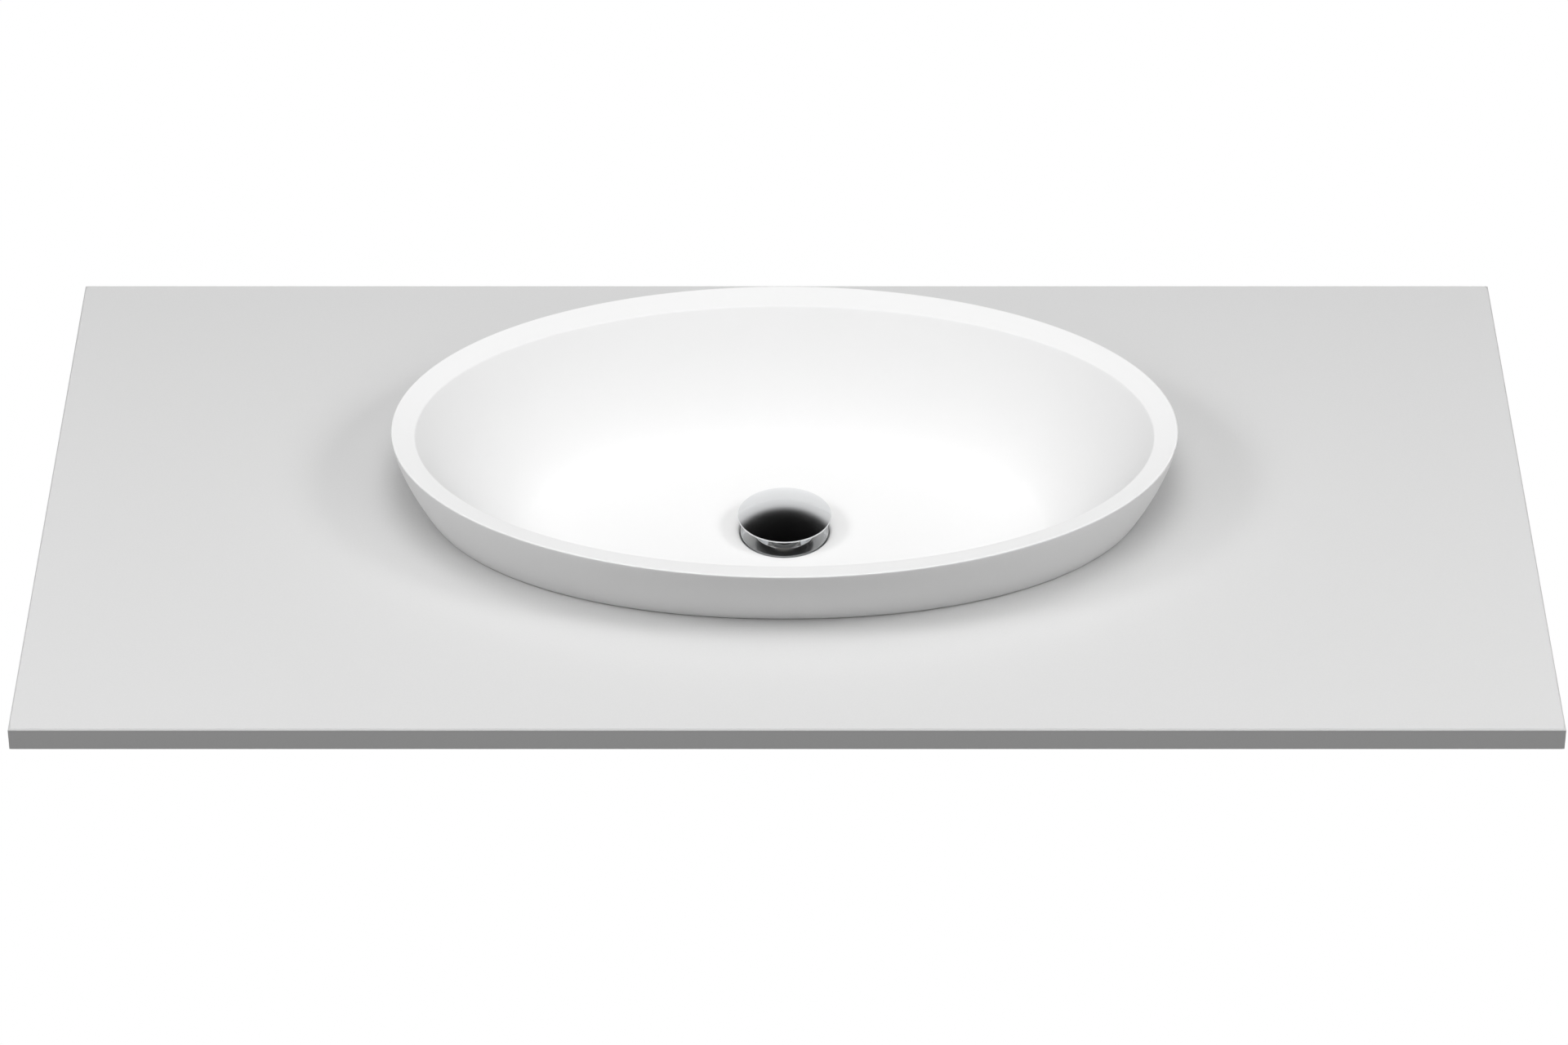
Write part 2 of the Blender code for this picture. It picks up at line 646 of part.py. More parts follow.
def index_track():
    """The zigzag ring that cuts the track which the pegs follow.

    Unrolled, a peg's path rises from home to the full stroke, dips to the latch, rises again and
    falls home, twice in a turn. The band's edges enclose every circle of the track's width on it.
    """
    path = np.linspace(-math.pi / 2, 3 * math.pi / 2, 2 * AROUND_TRACK * POINTS_PER_COIL)
    stations = (0, PRESS_TURN, LATCH_TURN, math.pi - PRESS_TURN, math.pi)
    travels = (0, CAP_TRAVEL, LATCH_TRAVEL, CAP_TRAVEL, 0)
    heights = PEG_HEIGHT + np.interp(path % math.pi, stations, travels)
    rows = []
    for turn in np.linspace(0, 2 * math.pi, AROUND_TRACK, endpoint=False):
        away = SKIRT_RADIUS * (path - turn % math.pi)
        near = abs(away) < TRACK_HALF_WIDTH
        spread = np.sqrt(TRACK_HALF_WIDTH**2 - away[near] ** 2)
        low, high = min(heights[near] - spread), max(heights[near] + spread)
        corners = (
            (SKIRT_RADIUS - TRACK_DEPTH, low),
            (SKIRT_RADIUS + CUT_OVERRUN, low),
            (SKIRT_RADIUS + CUT_OVERRUN, high),
            (SKIRT_RADIUS - TRACK_DEPTH, high),
        )
        rows.append([(reach * math.cos(turn), reach * math.sin(turn), height)
                     for reach, height in corners])
    return ring_loft("index_track", rows)


def build_plunger():
    """The stem with the stud's socket, the skirt with its track and the spigot inside the spring."""
    socket_bottom = STEM_TOP - STUD_GRIP - SEAT_GAP
    spigot = SPIGOT_DIAMETER / 2
    plunger = turned("plunger", (
        (0, socket_bottom),
        (STUD_SOCKET_RADIUS, socket_bottom),
        (STUD_SOCKET_RADIUS, STEM_TOP),
        (STEM_RADIUS, STEM_TOP),
        (STEM_RADIUS, SKIRT_TOP),
        (SKIRT_RADIUS, SKIRT_TOP),
        (SKIRT_RADIUS, SKIRT_BOTTOM),
        (spigot, SKIRT_BOTTOM),
        (spigot, SKIRT_BOTTOM - SPIGOT_LENGTH),
        (0, SKIRT_BOTTOM - SPIGOT_LENGTH),
    ), AROUND_TRACK)
    combine(plunger, "DIFFERENCE", index_track())
    keep(plunger, white_acetal, WASTE_AXIS)


def build_index_ring():
    """The ring between barrel and skirt, with a peg at each side that reaches into the track."""
    ring = washer("index_ring", SLEEVE_RADIUS, SLEEVE_OUTER_RADIUS, INDEX_RING_TOP, INDEX_RING_HEIGHT)
    inner = SKIRT_RADIUS - TRACK_DEPTH + RUNNING_GAP
    outer = (SLEEVE_RADIUS + SLEEVE_OUTER_RADIUS) / 2
    for side in (1, -1):
        peg = prism(f"index_peg_{side}", AROUND_PEG, PEG_DIAMETER / 2, 0, outer - inner)
        peg.rotation_euler = (0, math.pi / 2, 0)
        peg.location = (side * (outer + inner) / 2, 0, PEG_HEIGHT)
        combine(ring, "UNION", peg)
    keep(ring, nylon, WASTE_AXIS)


def build_spring():
    """The return spring, one unbroken wire from the barrel's floor to the plunger's skirt."""
    half_wire = SPRING_WIRE / 2
    bottom = BARREL_FLOOR_TOP + SEAT_GAP + half_wire
    top = SKIRT_BOTTOM - SEAT_GAP - half_wire
    turns = np.linspace(0, SPRING_COILS * 2 * math.pi, SPRING_COILS * POINTS_PER_COIL + 1)
    reach = SPRING_COIL_DIAMETER / 2
    points = np.column_stack([
        reach * np.cos(turns), reach * np.sin(turns), np.linspace(bottom, top, len(turns))
    ])
    apart = np.linalg.norm(points[:, None] - points[None], axis=2)
    steps = abs(np.arange(len(points))[:, None] - np.arange(len(points))[None])
    least = apart[steps > POINTS_PER_COIL // 2].min() - SPRING_WIRE
    print(f"return_spring: least gap {least * 1000:.2f} mm")
    curve = bpy.data.curves.new("return_spring", "CURVE")
    curve.dimensions = "3D"
    curve.bevel_depth = half_wire
    curve.bevel_resolution = 1
    curve.use_fill_caps = True
    spline = curve.splines.new("POLY")
    spline.points.add(len(points) - 1)
    for point, place in zip(spline.points, points.tolist()):
        point.co = (*place, 1)
    keep(bpy.data.objects.new("return_spring", curve), spring_steel, WASTE_AXIS)


build_basin()
build_waste_body()
build_clamp()
build_cap()
build_cap_core()
build_cartridge()
build_plunger()
build_index_ring()
build_spring()
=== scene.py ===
"""An oval semi-inset basin with its domed push-open waste, set in a plain pale slab under soft light.

All lengths are in metres, in the frame of the solids: the origin is the centre of the basin's outline
on the plane of the bench, +X runs along the basin, its front faces -Y, and +Z is up.
"""

import math

import bpy
import mathutils
import numpy as np
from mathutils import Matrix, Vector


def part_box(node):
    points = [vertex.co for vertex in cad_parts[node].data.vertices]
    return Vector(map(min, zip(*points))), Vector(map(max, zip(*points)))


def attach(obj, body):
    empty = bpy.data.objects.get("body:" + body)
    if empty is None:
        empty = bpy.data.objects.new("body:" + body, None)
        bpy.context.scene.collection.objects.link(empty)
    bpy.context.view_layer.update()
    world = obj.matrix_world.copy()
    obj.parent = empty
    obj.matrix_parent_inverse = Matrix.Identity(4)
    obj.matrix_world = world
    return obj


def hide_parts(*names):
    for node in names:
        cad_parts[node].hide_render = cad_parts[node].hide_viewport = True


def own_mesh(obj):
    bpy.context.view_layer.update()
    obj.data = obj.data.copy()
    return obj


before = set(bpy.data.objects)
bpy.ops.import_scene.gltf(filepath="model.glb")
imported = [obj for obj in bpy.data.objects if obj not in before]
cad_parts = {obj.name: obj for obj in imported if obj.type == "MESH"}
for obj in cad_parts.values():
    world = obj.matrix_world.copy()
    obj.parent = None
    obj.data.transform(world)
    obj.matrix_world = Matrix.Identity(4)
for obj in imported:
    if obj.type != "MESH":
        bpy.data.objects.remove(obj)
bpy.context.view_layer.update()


# The camera stands in front of the basin and a little more than a third of a right angle above it, with
# a long lens, so that the oval keeps its shape. It looks at a point on the bench in front of the waste.
camera_elevation = math.radians(35.6)
camera_distance = 3.5828
camera_target = (-0.0003, -0.03777, 0)
camera_lens = 135
camera = bpy.data.objects.new("camera", bpy.data.cameras.new("camera"))
bpy.context.scene.collection.objects.link(camera)
camera.data.lens = camera_lens
camera.data.sensor_width = 36
camera.data.clip_start = 0.05
camera.data.clip_end = 50
camera.location = (
    camera_target[0],
    camera_target[1] - camera_distance * math.cos(camera_elevation),
    camera_target[2] + camera_distance * math.sin(camera_elevation),
)
camera.rotation_euler = (math.pi / 2 - camera_elevation, 0, 0)
bpy.context.scene.camera = camera
bpy.context.scene.view_settings.view_transform = "Standard"


# The light is a set of broad, soft lamps, the strongest overhead and the rest in front and at both
# sides. Polished metal doesn't show them: it shows a pale room up to a little over a third of a right
# angle and a dark ceiling above, which is what draws the cap's dome.
lamp_aim = mathutils.Vector((0, 0, 0.02))
for lamp_name, place, size, power in (
    ("ceiling_lamp", (0, 0, 2.6), 3.0, 30.0),
    ("overhead_lamp", (0, -0.25, 2.6), 1.3, 14.5),
    ("front_overhead_lamp", (0, -1.5, 2.1), 1.0, 8.0),
    ("left_lamp", (-1.45, -0.4, 1.4), 0.6, 10.2),
    ("right_lamp", (1.45, -0.4, 1.4), 0.6, 10.2),
    ("left_front_lamp", (-1.5, -1.5, 1.5), 1.2, 8.7),
    ("right_front_lamp", (1.5, -1.5, 1.5), 1.2, 8.7),
):
    lamp = bpy.data.objects.new(lamp_name, bpy.data.lights.new(lamp_name, "AREA"))
    bpy.context.scene.collection.objects.link(lamp)
    lamp.data.shape = "DISK"
    lamp.data.size = size
    lamp.data.energy = power
    lamp.location = place
    lamp.rotation_euler = (lamp.location - lamp_aim).to_track_quat("Z", "Y").to_euler()
    lamp.visible_glossy = False

glow_from_below, horizon_blend = 0.15, 0.02
room_by_elevation = (
    (0, 0.97), (20, 0.85), (27, 0.77), (32, 0.69), (35, 0.55), (38, 0.27), (41, 0.08), (45, 0.025),
    (52, 0.01), (62, 0.005), (90, 0.003),
)
world = bpy.data.worlds.new("studio")
bpy.context.scene.world = world
world.use_nodes = True
nodes, links = world.node_tree.nodes, world.node_tree.links
nodes.clear()
direction = nodes.new("ShaderNodeTexCoord")
height = nodes.new("ShaderNodeSeparateXYZ")
links.new(direction.outputs["Generated"], height.inputs[0])
room = nodes.new("ShaderNodeValToRGB")
stops = room.color_ramp.elements
for elevation, _ in room_by_elevation[1:-1]:
    stops.new(math.sin(math.radians(elevation)))
for stop, (elevation, brightness) in zip(stops, room_by_elevation):
    stop.color = (brightness, brightness, brightness, 1)
links.new(height.outputs["Z"], room.inputs["Fac"])
rays = nodes.new("ShaderNodeLightPath")
below = nodes.new("ShaderNodeMapRange")
below.inputs["From Min"].default_value = -horizon_blend
below.inputs["From Max"].default_value = horizon_blend
below.inputs["To Min"].default_value = glow_from_below
below.inputs["To Max"].default_value = 0.0
links.new(height.outputs["Z"], below.inputs["Value"])
for_metal = nodes.new("ShaderNodeMix")
links.new(below.outputs["Result"], for_metal.inputs["A"])
links.new(rays.outputs["Is Glossy Ray"], for_metal.inputs["Factor"])
links.new(room.outputs["Color"], for_metal.inputs["B"])
for_camera = nodes.new("ShaderNodeMix")
for_camera.inputs["B"].default_value = 1.0
links.new(rays.outputs["Is Camera Ray"], for_camera.inputs["Factor"])
links.new(for_metal.outputs["Result"], for_camera.inputs["A"])
sky = nodes.new("ShaderNodeBackground")
sky.inputs["Color"].default_value = (1, 1, 1, 1)
links.new(for_camera.outputs["Result"], sky.inputs["Strength"])
world_output = nodes.new("ShaderNodeOutputWorld")
links.new(sky.outputs["Background"], world_output.inputs["Surface"])


# The floor is a plain pale slab, flat and matt, with an oval hole that the bowl hangs in. Its top
# lies a hair under the plane that the basin's ledge rests on.
slab_low = (-0.4513, -0.2442)
slab_high = (0.4541, 0.2253)
slab_thickness = 0.015
slab_edge = 0.0008
slab_hole = (0.2120, 0.1305)
slab_drop = 0.0001
slab_colour = np.full(3, 0.642)


def grid_mesh(name, *surfaces, sharp=50):
    """A piece from grids of points whose rows run round, each row below or inside the one before.

    Each face joins a point to the same point of the next row and to the next two points round, so
    rows that run down an outer side make it face outward. A grid that starts in a single point runs
    from pole to pole, and any other joins its last row to its first. Points that a pole leaves
    without a face are dropped.
    """
    quads = []
    for points in surfaces:
        index = np.arange(points.shape[0] * points.shape[1]).reshape(points.shape[:2])
        at_pole = np.ptp(points, axis=1).max(axis=1) == 0
        index[at_pole] = index[at_pole, :1]
        index = np.concatenate([index, index[:, :1]], axis=1)
        if not at_pole[0]:
            index = np.concatenate([index, index[:1]], axis=0)
        faces = np.stack([index[:-1, :-1], index[1:, :-1], index[1:, 1:], index[:-1, 1:]], axis=-1)
        quads.append(faces.reshape(-1, 4))
    offsets = np.cumsum([0, *(points.shape[0] * points.shape[1] for points in surfaces)])
    quads = np.concatenate([faces + offset for faces, offset in zip(quads, offsets)])
    used, quads = np.unique(quads, return_inverse=True)
    points = np.concatenate([points.reshape(-1, 3) for points in surfaces])[used]
    faces = [list(dict.fromkeys(quad)) for quad in quads.reshape(-1, 4).tolist()]
    mesh = bpy.data.meshes.new(name)
    mesh.from_pydata(points.tolist(), [], faces)
    mesh.shade_smooth()
    mesh.set_sharp_from_angle(angle=math.radians(sharp))
    piece = bpy.data.objects.new(name, mesh)
    bpy.context.scene.collection.objects.link(piece)
    return piece


def slab_surface(around=256):
    """From the hole out over the top, down the chamfered sides, in below and back up the hole.

    The outline is the ray at each angle, cut off at the nearer of the two sides that it can meet.
    """
    turn = (np.arange(around) + 0.5) * 2 * math.pi / around
    corners = [math.atan2(y, x) for x in (slab_low[0], slab_high[0]) for y in (slab_low[1], slab_high[1])]
    turn = np.sort(np.concatenate([turn, np.mod(corners, 2 * math.pi)]))
    ray = np.column_stack([np.cos(turn), np.sin(turn)])
    hole = ray * slab_hole
    outlines = []
    for inset in (slab_edge, 0):
        limit = np.where(ray > 0, np.array(slab_high) - inset, np.array(slab_low) + inset)
        outlines.append(ray * np.min(limit / ray, axis=1)[:, None])
    bottom = -slab_drop - slab_thickness
    rings = (
        (hole, -slab_drop),
        (outlines[0], -slab_drop),
        (outlines[1], -slab_drop - slab_edge),
        (outlines[1], bottom + slab_edge),
        (outlines[0], bottom),
        (hole, bottom),
    )
    return np.array([np.column_stack([ring, np.full(len(turn), level)]) for ring, level in rings])


def new_finish(name, roughness, metallic=0):
    """A new material, its node tree and its shader."""
    finish = bpy.data.materials.new(name)
    finish.use_nodes = True
    shader = finish.node_tree.nodes["Principled BSDF"]
    shader.inputs["Roughness"].default_value = roughness
    shader.inputs["Metallic"].default_value = metallic
    return finish, finish.node_tree, shader


def grain(tree, scale, detail=2, stretch=(1, 1, 1)):
    """A noise on the piece's own coordinates, closer together along an axis where its stretch is more."""
    place = tree.nodes.new("ShaderNodeTexCoord")
    mapping = tree.nodes.new("ShaderNodeMapping")
    mapping.inputs["Scale"].default_value = stretch
    noise = tree.nodes.new("ShaderNodeTexNoise")
    noise.inputs["Scale"].default_value = scale
    noise.inputs["Detail"].default_value = detail
    tree.links.new(place.outputs["Object"], mapping.inputs["Vector"])
    tree.links.new(mapping.outputs["Vector"], noise.inputs["Vector"])
    return noise.outputs["Fac"]


def spread_out(tree, factor, low, high):
    """A noise's middle values, from 0.3 to 0.7, spread between a low and a high value."""
    spread = tree.nodes.new("ShaderNodeMapRange")
    for socket, value in (("From Min", 0.3), ("From Max", 0.7), ("To Min", low), ("To Max", high)):
        spread.inputs[socket].default_value = value
    tree.links.new(factor, spread.inputs["Value"])
    return spread.outputs["Result"]


def colour_between(tree, shader, factor, dark, light):
    """The base colour wanders between a dark and a light one with a noise."""
    mix = tree.nodes.new("ShaderNodeMix")
    mix.data_type = "RGBA"
    mix.inputs["A"].default_value = (*dark, 1)
    mix.inputs["B"].default_value = (*light, 1)
    tree.links.new(spread_out(tree, factor, 0, 1), mix.inputs["Factor"])
    tree.links.new(mix.outputs["Result"], shader.inputs["Base Color"])


slab = grid_mesh("floor_slab", slab_surface(), sharp=20)
slab_finish, tree, shader = new_finish("matt_pale_slab", roughness=0.6)
shader.inputs["Specular IOR Level"].default_value = 0.1
colour_between(tree, shader, grain(tree, scale=900), slab_colour * 0.99, slab_colour * 1.01)
slab.data.materials.append(slab_finish)


# The basin is one casting in white solid surface, rubbed matt. Its rim is a true ellipse whose land
# slopes in to the bowl, its wall tapers and bulges down to the bench, and a ledge there carries it.
basin_length, basin_width = 0.480, 0.312
rim_height, rim_fall = 0.045, 0.0043
rim_land_at_ends, rim_land_at_sides = 0.0145, 0.0167
rim_edge = 0.0008
wall_taper, wall_bulge, foot_fullness, foot_chamfer = 0.0188, 1.37, 2.10, 0.001
bowl_depth, floor_fall = 0.0781, 0.0041
floor_length, floor_width = 0.316, 0.168
bowl_wall_share, bowl_corner = 0.72, 2.8
shell_thickness, ledge_clearance = 0.0115, 0.0008
boss_radius, boss_depth, boss_draft, boss_edge = 0.038, 0.020, 0.006, 0.001
waste_hole_radius, rebate_radius, rebate_depth = 0.0224, 0.02765, 0.0043
rebate_edge, rebate_edge_slope = 0.0022, 0.08
basin_floor = rim_height - bowl_depth
lip_rows, wall_rows, bowl_rows, floor_rows = 13, 29, 72, 29
rows_under_rim_edge, rows_over_rebate_edge = 3, 2
basin_white = np.full(3, 0.81)


def eased(before, corner, after, reach, count=9):
    """Rows of a curve that rounds a corner of the profile.

    It is the quadratic curve that leaves the line to the corner one reach before it and joins the
    line from the corner one reach after it.
    """
    before, corner, after = (np.asarray(row, float) for row in (before, corner, after))
    to_before, to_after = before - corner, after - corner
    start = corner + to_before * reach / math.hypot(to_before[0], to_before[3])
    end = corner + to_after * reach / math.hypot(to_after[0], to_after[3])
    share = np.linspace(0, 1, count)[:, None]
    return (1 - share) ** 2 * start + 2 * share * (1 - share) * corner + share**2 * end


def straight(start, end, count):
    """Rows between two rows, without the two themselves, at shares of half of one less a cosine."""
    share = (1 - np.cos(np.linspace(0, math.pi, count + 2)[1:-1, None])) / 2
    return (1 - share) * np.asarray(start, float) + share * np.asarray(end, float)


def basin_profile():
    """Rows of half length, half width, fullness and height, in turn round the wall of the casting.

    The bowl falls along a wall and a corner: with c and s the cosine and sine of a quarter turn,
    raised to two over the corner's fullness, it is s of the way down and, by the wall's share,
    between s and 1 - c of the way in. The floor falls on by one less a cosine. The outer wall goes
    in by a power of its fall. The underside lies one shell thickness outside the bowl. The rounded
    edges of the rim and of the rebate take the place of the bowl's first and the floor's last rows.
    """
    half_length, half_width = basin_length / 2, basin_width / 2
    inner = (half_length - rim_land_at_ends, half_width - rim_land_at_sides, 2, rim_height - rim_fall)
    tilt = math.atan(rim_fall / rim_land_at_sides)

    angle = np.linspace(math.pi / 2 + tilt, 0, lip_rows)
    out, rise = rim_edge * (np.cos(angle) - 1), rim_edge * (np.sin(angle) - 1)
    lip = np.column_stack([half_length + out, half_width + out, np.full(lip_rows, 2), rim_height + rise])

    wall_top = rim_height - rim_edge
    level = np.linspace(wall_top, foot_chamfer, wall_rows + 1)[1:]
    fall = 1 - level / wall_top
    inset = wall_taper * fall**wall_bulge
    fullness = 2 + (foot_fullness - 2) * fall
    wall = np.column_stack([half_length - inset, half_width - inset, fullness, level])
    foot_out = wall_taper + foot_chamfer
    foot = np.array([half_length - foot_out, half_width - foot_out, foot_fullness, 0.0])

    turn = np.linspace(0, math.pi / 2, bowl_rows)
    down = np.sin(turn) ** (2 / bowl_corner)
    corner = 1 - np.clip(np.cos(turn), 0, 1) ** (2 / bowl_corner)
    across = bowl_wall_share * down + (1 - bowl_wall_share) * corner
    floor_edge = basin_floor + floor_fall
    bowl = np.column_stack([
        inner[0] + (floor_length / 2 - inner[0]) * across,
        inner[1] + (floor_width / 2 - inner[1]) * across,
        np.full(bowl_rows, 2),
        inner[3] + (floor_edge - inner[3]) * down,
    ])
    share = np.linspace(0, 1, floor_rows + 1)[1:]
    floor = np.column_stack([
        floor_length / 2 + (rebate_radius - floor_length / 2) * share,
        floor_width / 2 + (rebate_radius - floor_width / 2) * share,
        np.full(floor_rows, 2),
        floor_edge - floor_fall * (1 - np.cos(share * math.pi / 2)),
    ])
    inside = np.concatenate([bowl, floor])

    mean = (inside[:, 0] + inside[:, 1]) / 2
    slope = np.column_stack([np.gradient(mean), np.gradient(inside[:, 3])])
    slope /= np.linalg.norm(slope, axis=1)[:, None]
    under = inside.copy()
    under[:, :2] -= shell_thickness * slope[:, 1:]
    under[:, 3] += shell_thickness * slope[:, 0]
    ledge_end = [*[np.interp(0, -under[:, 3], under[:, column]) for column in range(2)], 2, 0]
    beside_boss = under[:, 1] > boss_radius + boss_draft + boss_edge
    under = under[beside_boss & (under[:, 3] < -ledge_clearance)]

    bottom, rebate = basin_floor - boss_depth, basin_floor - rebate_depth
    round_rows = [
        [reach, reach, 2, level]
        for reach, level in (
            (boss_radius + boss_draft, basin_floor - shell_thickness),
            (boss_radius, bottom),
            (waste_hole_radius, bottom),
            (waste_hole_radius, rebate),
            (rebate_radius, rebate),
            (rebate_radius, basin_floor),
        )
    ]
    edge_radius = rebate_radius + rebate_edge
    beside_rebate = [edge_radius, edge_radius, 2, basin_floor + rebate_edge * rebate_edge_slope]
    foot_line = eased(wall[-1], foot, ledge_end, foot_chamfer / 2, count=5)
    rim_rounding = eased(bowl[rows_under_rim_edge], inner, lip[0], rim_edge)
    return np.concatenate([
        rim_rounding,
        straight(rim_rounding[-1], lip[0], count=10),
        lip,
        wall,
        foot_line,
        straight(foot_line[-1], ledge_end, count=3),
        eased(foot_line[-1], ledge_end, under[0], boss_edge, count=5),
        under,
        eased(under[-1], round_rows[0], round_rows[1], boss_draft / 2),
        eased(round_rows[0], round_rows[1], round_rows[2], boss_edge),
        straight(round_rows[1], round_rows[2], count=3),
        eased(round_rows[1], round_rows[2], round_rows[3], boss_edge / 2, count=4),
        straight(round_rows[2], round_rows[3], count=3),
        round_rows[3:5],
        eased(round_rows[4], round_rows[5], beside_rebate, rebate_edge),
        floor[-1 - rows_over_rebate_edge::-1],
        bowl[:rows_under_rim_edge:-1],
    ])


def oval_surface(profile, around):
    """Each row of a profile carried round a superellipse of its own half length and half width."""
    turn = np.linspace(0, 2 * math.pi, around, endpoint=False)
    power = 2 / profile[:, 2:3]
    x = profile[:, :1] * np.sign(np.cos(turn)) * abs(np.cos(turn)) ** power
    y = profile[:, 1:2] * np.sign(np.sin(turn)) * abs(np.sin(turn)) ** power
    return np.stack([x, y, np.broadcast_to(profile[:, 3:], x.shape)], axis=-1)


def roughness_between(tree, shader, factor, smooth, rough):
    """The roughness wanders between a smooth and a rough one with a noise."""
    tree.links.new(spread_out(tree, factor, smooth, rough), shader.inputs["Roughness"])


def relief(tree, shader, factor, depth):
    """A noise stands in relief, so many metres from its lowest to its highest."""
    bump = tree.nodes.new("ShaderNodeBump")
    bump.inputs["Strength"].default_value = 1
    bump.inputs["Distance"].default_value = depth
    tree.links.new(factor, bump.inputs["Height"])
    tree.links.new(bump.outputs["Normal"], shader.inputs["Normal"])


basin_piece = grid_mesh("cast_basin", oval_surface(basin_profile(), around=344))
cast_white, tree, shader = new_finish("cast_white", roughness=0.5)
shader.inputs["Specular IOR Level"].default_value = 0.1
colour_between(tree, shader, grain(tree, scale=14), basin_white * 0.995, basin_white * 1.005)
roughness_between(tree, shader, grain(tree, scale=120, detail=3), smooth=0.46, rough=0.54)
relief(tree, shader, grain(tree, scale=1400, detail=3), depth=0.000006)
basin_piece.data.materials.append(cast_white)
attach(basin_piece, "basin")
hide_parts("basin")


# The waste body is one brass casting, turned, threaded outside and chromed all over, duller than the
# cap. Its flange lies flush in the bowl's floor round a softly rounded mouth, and four arms in its
# bore carry a threaded boss for the cartridge.
body_low, body_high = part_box("waste_body")
flange_top, tail_end, flange_radius = body_high[2], body_low[2], body_high[0]
flange_thickness, flange_rounding = 0.0025, 0.0003
mouth_radius, mouth_rounding, mouth_depth, mouth_relief = 0.0171, 0.0025, 0.0035, 0.0015
bore_radius, tail_rounding = 0.0183, 0.0005
pipe_radius, pipe_pitch, pipe_thread_depth, pipe_plain_neck = 0.0208, 0.00231, 0.0012, 0.0015
pipe_thread_top = flange_top - flange_thickness - pipe_plain_neck
spider_depth, spider_boss_radius, spider_boss_height, spider_hole_radius = 0.015, 0.0115, 0.009, 0.009
spider_top = flange_top - spider_depth
spider_bottom = spider_top - spider_boss_height
arm_width, arm_height, arm_drop, arm_flare, arm_squareness = 0.003, 0.006, 0.001, 0.6, 0.3
arm_rows, arm_points = 17, 40
cartridge_pitch, cartridge_thread_depth = 0.001, 0.0006
edge_rounding = 0.0002
same_point, same_radius = 1e-8, 1e-7


def rounded(corners, reach, count=5):
    """A closed profile of radius and height whose corners are eased, each over its own reach.

    A corner is the quadratic curve between the points that lie one reach before and after it along
    its sides. One more point a tenth further out at each end keeps the side beside it flat in the
    shading. Points that a reach of nothing repeats are dropped.
    """
    corners = np.asarray(corners, float)
    reach = np.reshape(reach, (-1, *(1,) * (corners.ndim - 1)))
    to_before, to_after = np.roll(corners, 1, axis=0) - corners, np.roll(corners, -1, axis=0) - corners
    start = reach * to_before / np.linalg.norm(to_before, axis=-1, keepdims=True)
    end = reach * to_after / np.linalg.norm(to_after, axis=-1, keepdims=True)
    share = np.linspace(0, 1, count).reshape(-1, *(1,) * corners.ndim)
    curve = np.concatenate([[1.1 * start], (1 - share) ** 2 * start + share**2 * end, [1.1 * end]])
    rows = np.swapaxes(corners + curve, 0, 1).reshape(-1, *corners.shape[1:])
    moved = abs(rows - np.roll(rows, 1, axis=0)).reshape(len(rows), -1).max(axis=1)
    return rows[moved > same_point]


def turned(profile, around, thread=None):
    """A profile of radius and height carried round the axis of the waste, with or without a thread.

    A profile may change with the turn. A thread cuts the points at its crest's radius by a cosine
    wave of the height in pitches less the turn in full turns, and fades out over one pitch at its
    ends.
    """
    turn = np.linspace(0, 2 * math.pi, around, endpoint=False)
    profile = np.asarray(profile, float).reshape(len(profile), -1, 2)
    radius, height = profile[..., 0] + 0 * turn, profile[..., 1] + 0 * turn
    if thread:
        crest, pitch, depth, low, high = thread
        wave = (1 - np.cos(2 * math.pi * height / pitch - turn)) / 2
        fade = np.clip((height - low) / pitch, 0, 1) * np.clip((high - height) / pitch, 0, 1)
        radius = radius - depth * wave * fade * (abs(radius - crest) < same_radius)
    return np.stack([radius * np.cos(turn), radius * np.sin(turn), height], axis=-1)


def side_rows(radius, start, end, count):
    """Points down or up a straight side, closely enough for a thread."""
    return np.column_stack([np.full(count, radius), np.linspace(start, end, count)])


def spider_arm(quarter):
    """One arm, a rounded bar between boss and bore whose sides flare by the sixth power to both ends.

    Its section is a superellipse, and each end closes in a pole.
    """
    inner, outer = spider_boss_radius - 2 * edge_rounding, bore_radius + edge_rounding
    stations = np.linspace(1, -1, arm_rows)
    along = np.concatenate([[1], stations, [-1]])[:, None]
    open_end = np.concatenate([[0], np.ones_like(stations), [0]])[:, None]
    width = open_end * arm_width / 2 * (1 + arm_flare * along**6)
    height = open_end * arm_height / 2
    around = np.linspace(0, 2 * math.pi, arm_points, endpoint=False)
    x = (outer + inner) / 2 + along * (outer - inner) / 2 + 0 * around
    y = width * np.sign(np.cos(around)) * abs(np.cos(around)) ** arm_squareness
    z = height * np.sign(np.sin(around)) * abs(np.sin(around)) ** arm_squareness
    z += spider_top - arm_drop - arm_height / 2
    c, s = round(math.cos(quarter * math.pi / 2)), round(math.sin(quarter * math.pi / 2))
    return np.stack([c * x - s * y, s * x + c * y, z], axis=-1)


def plated(name, smooth, rough):
    """Chrome plate whose polish, wiped in one direction, wanders between a smooth and a rough one."""
    finish, tree, shader = new_finish(name, smooth, metallic=1)
    roughness_between(tree, shader, grain(tree, scale=160, detail=3, stretch=(1, 1, 0.3)), smooth, rough)
    colour_between(tree, shader, grain(tree, scale=35), (0.79, 0.80, 0.81), (0.81, 0.82, 0.83))
    return finish


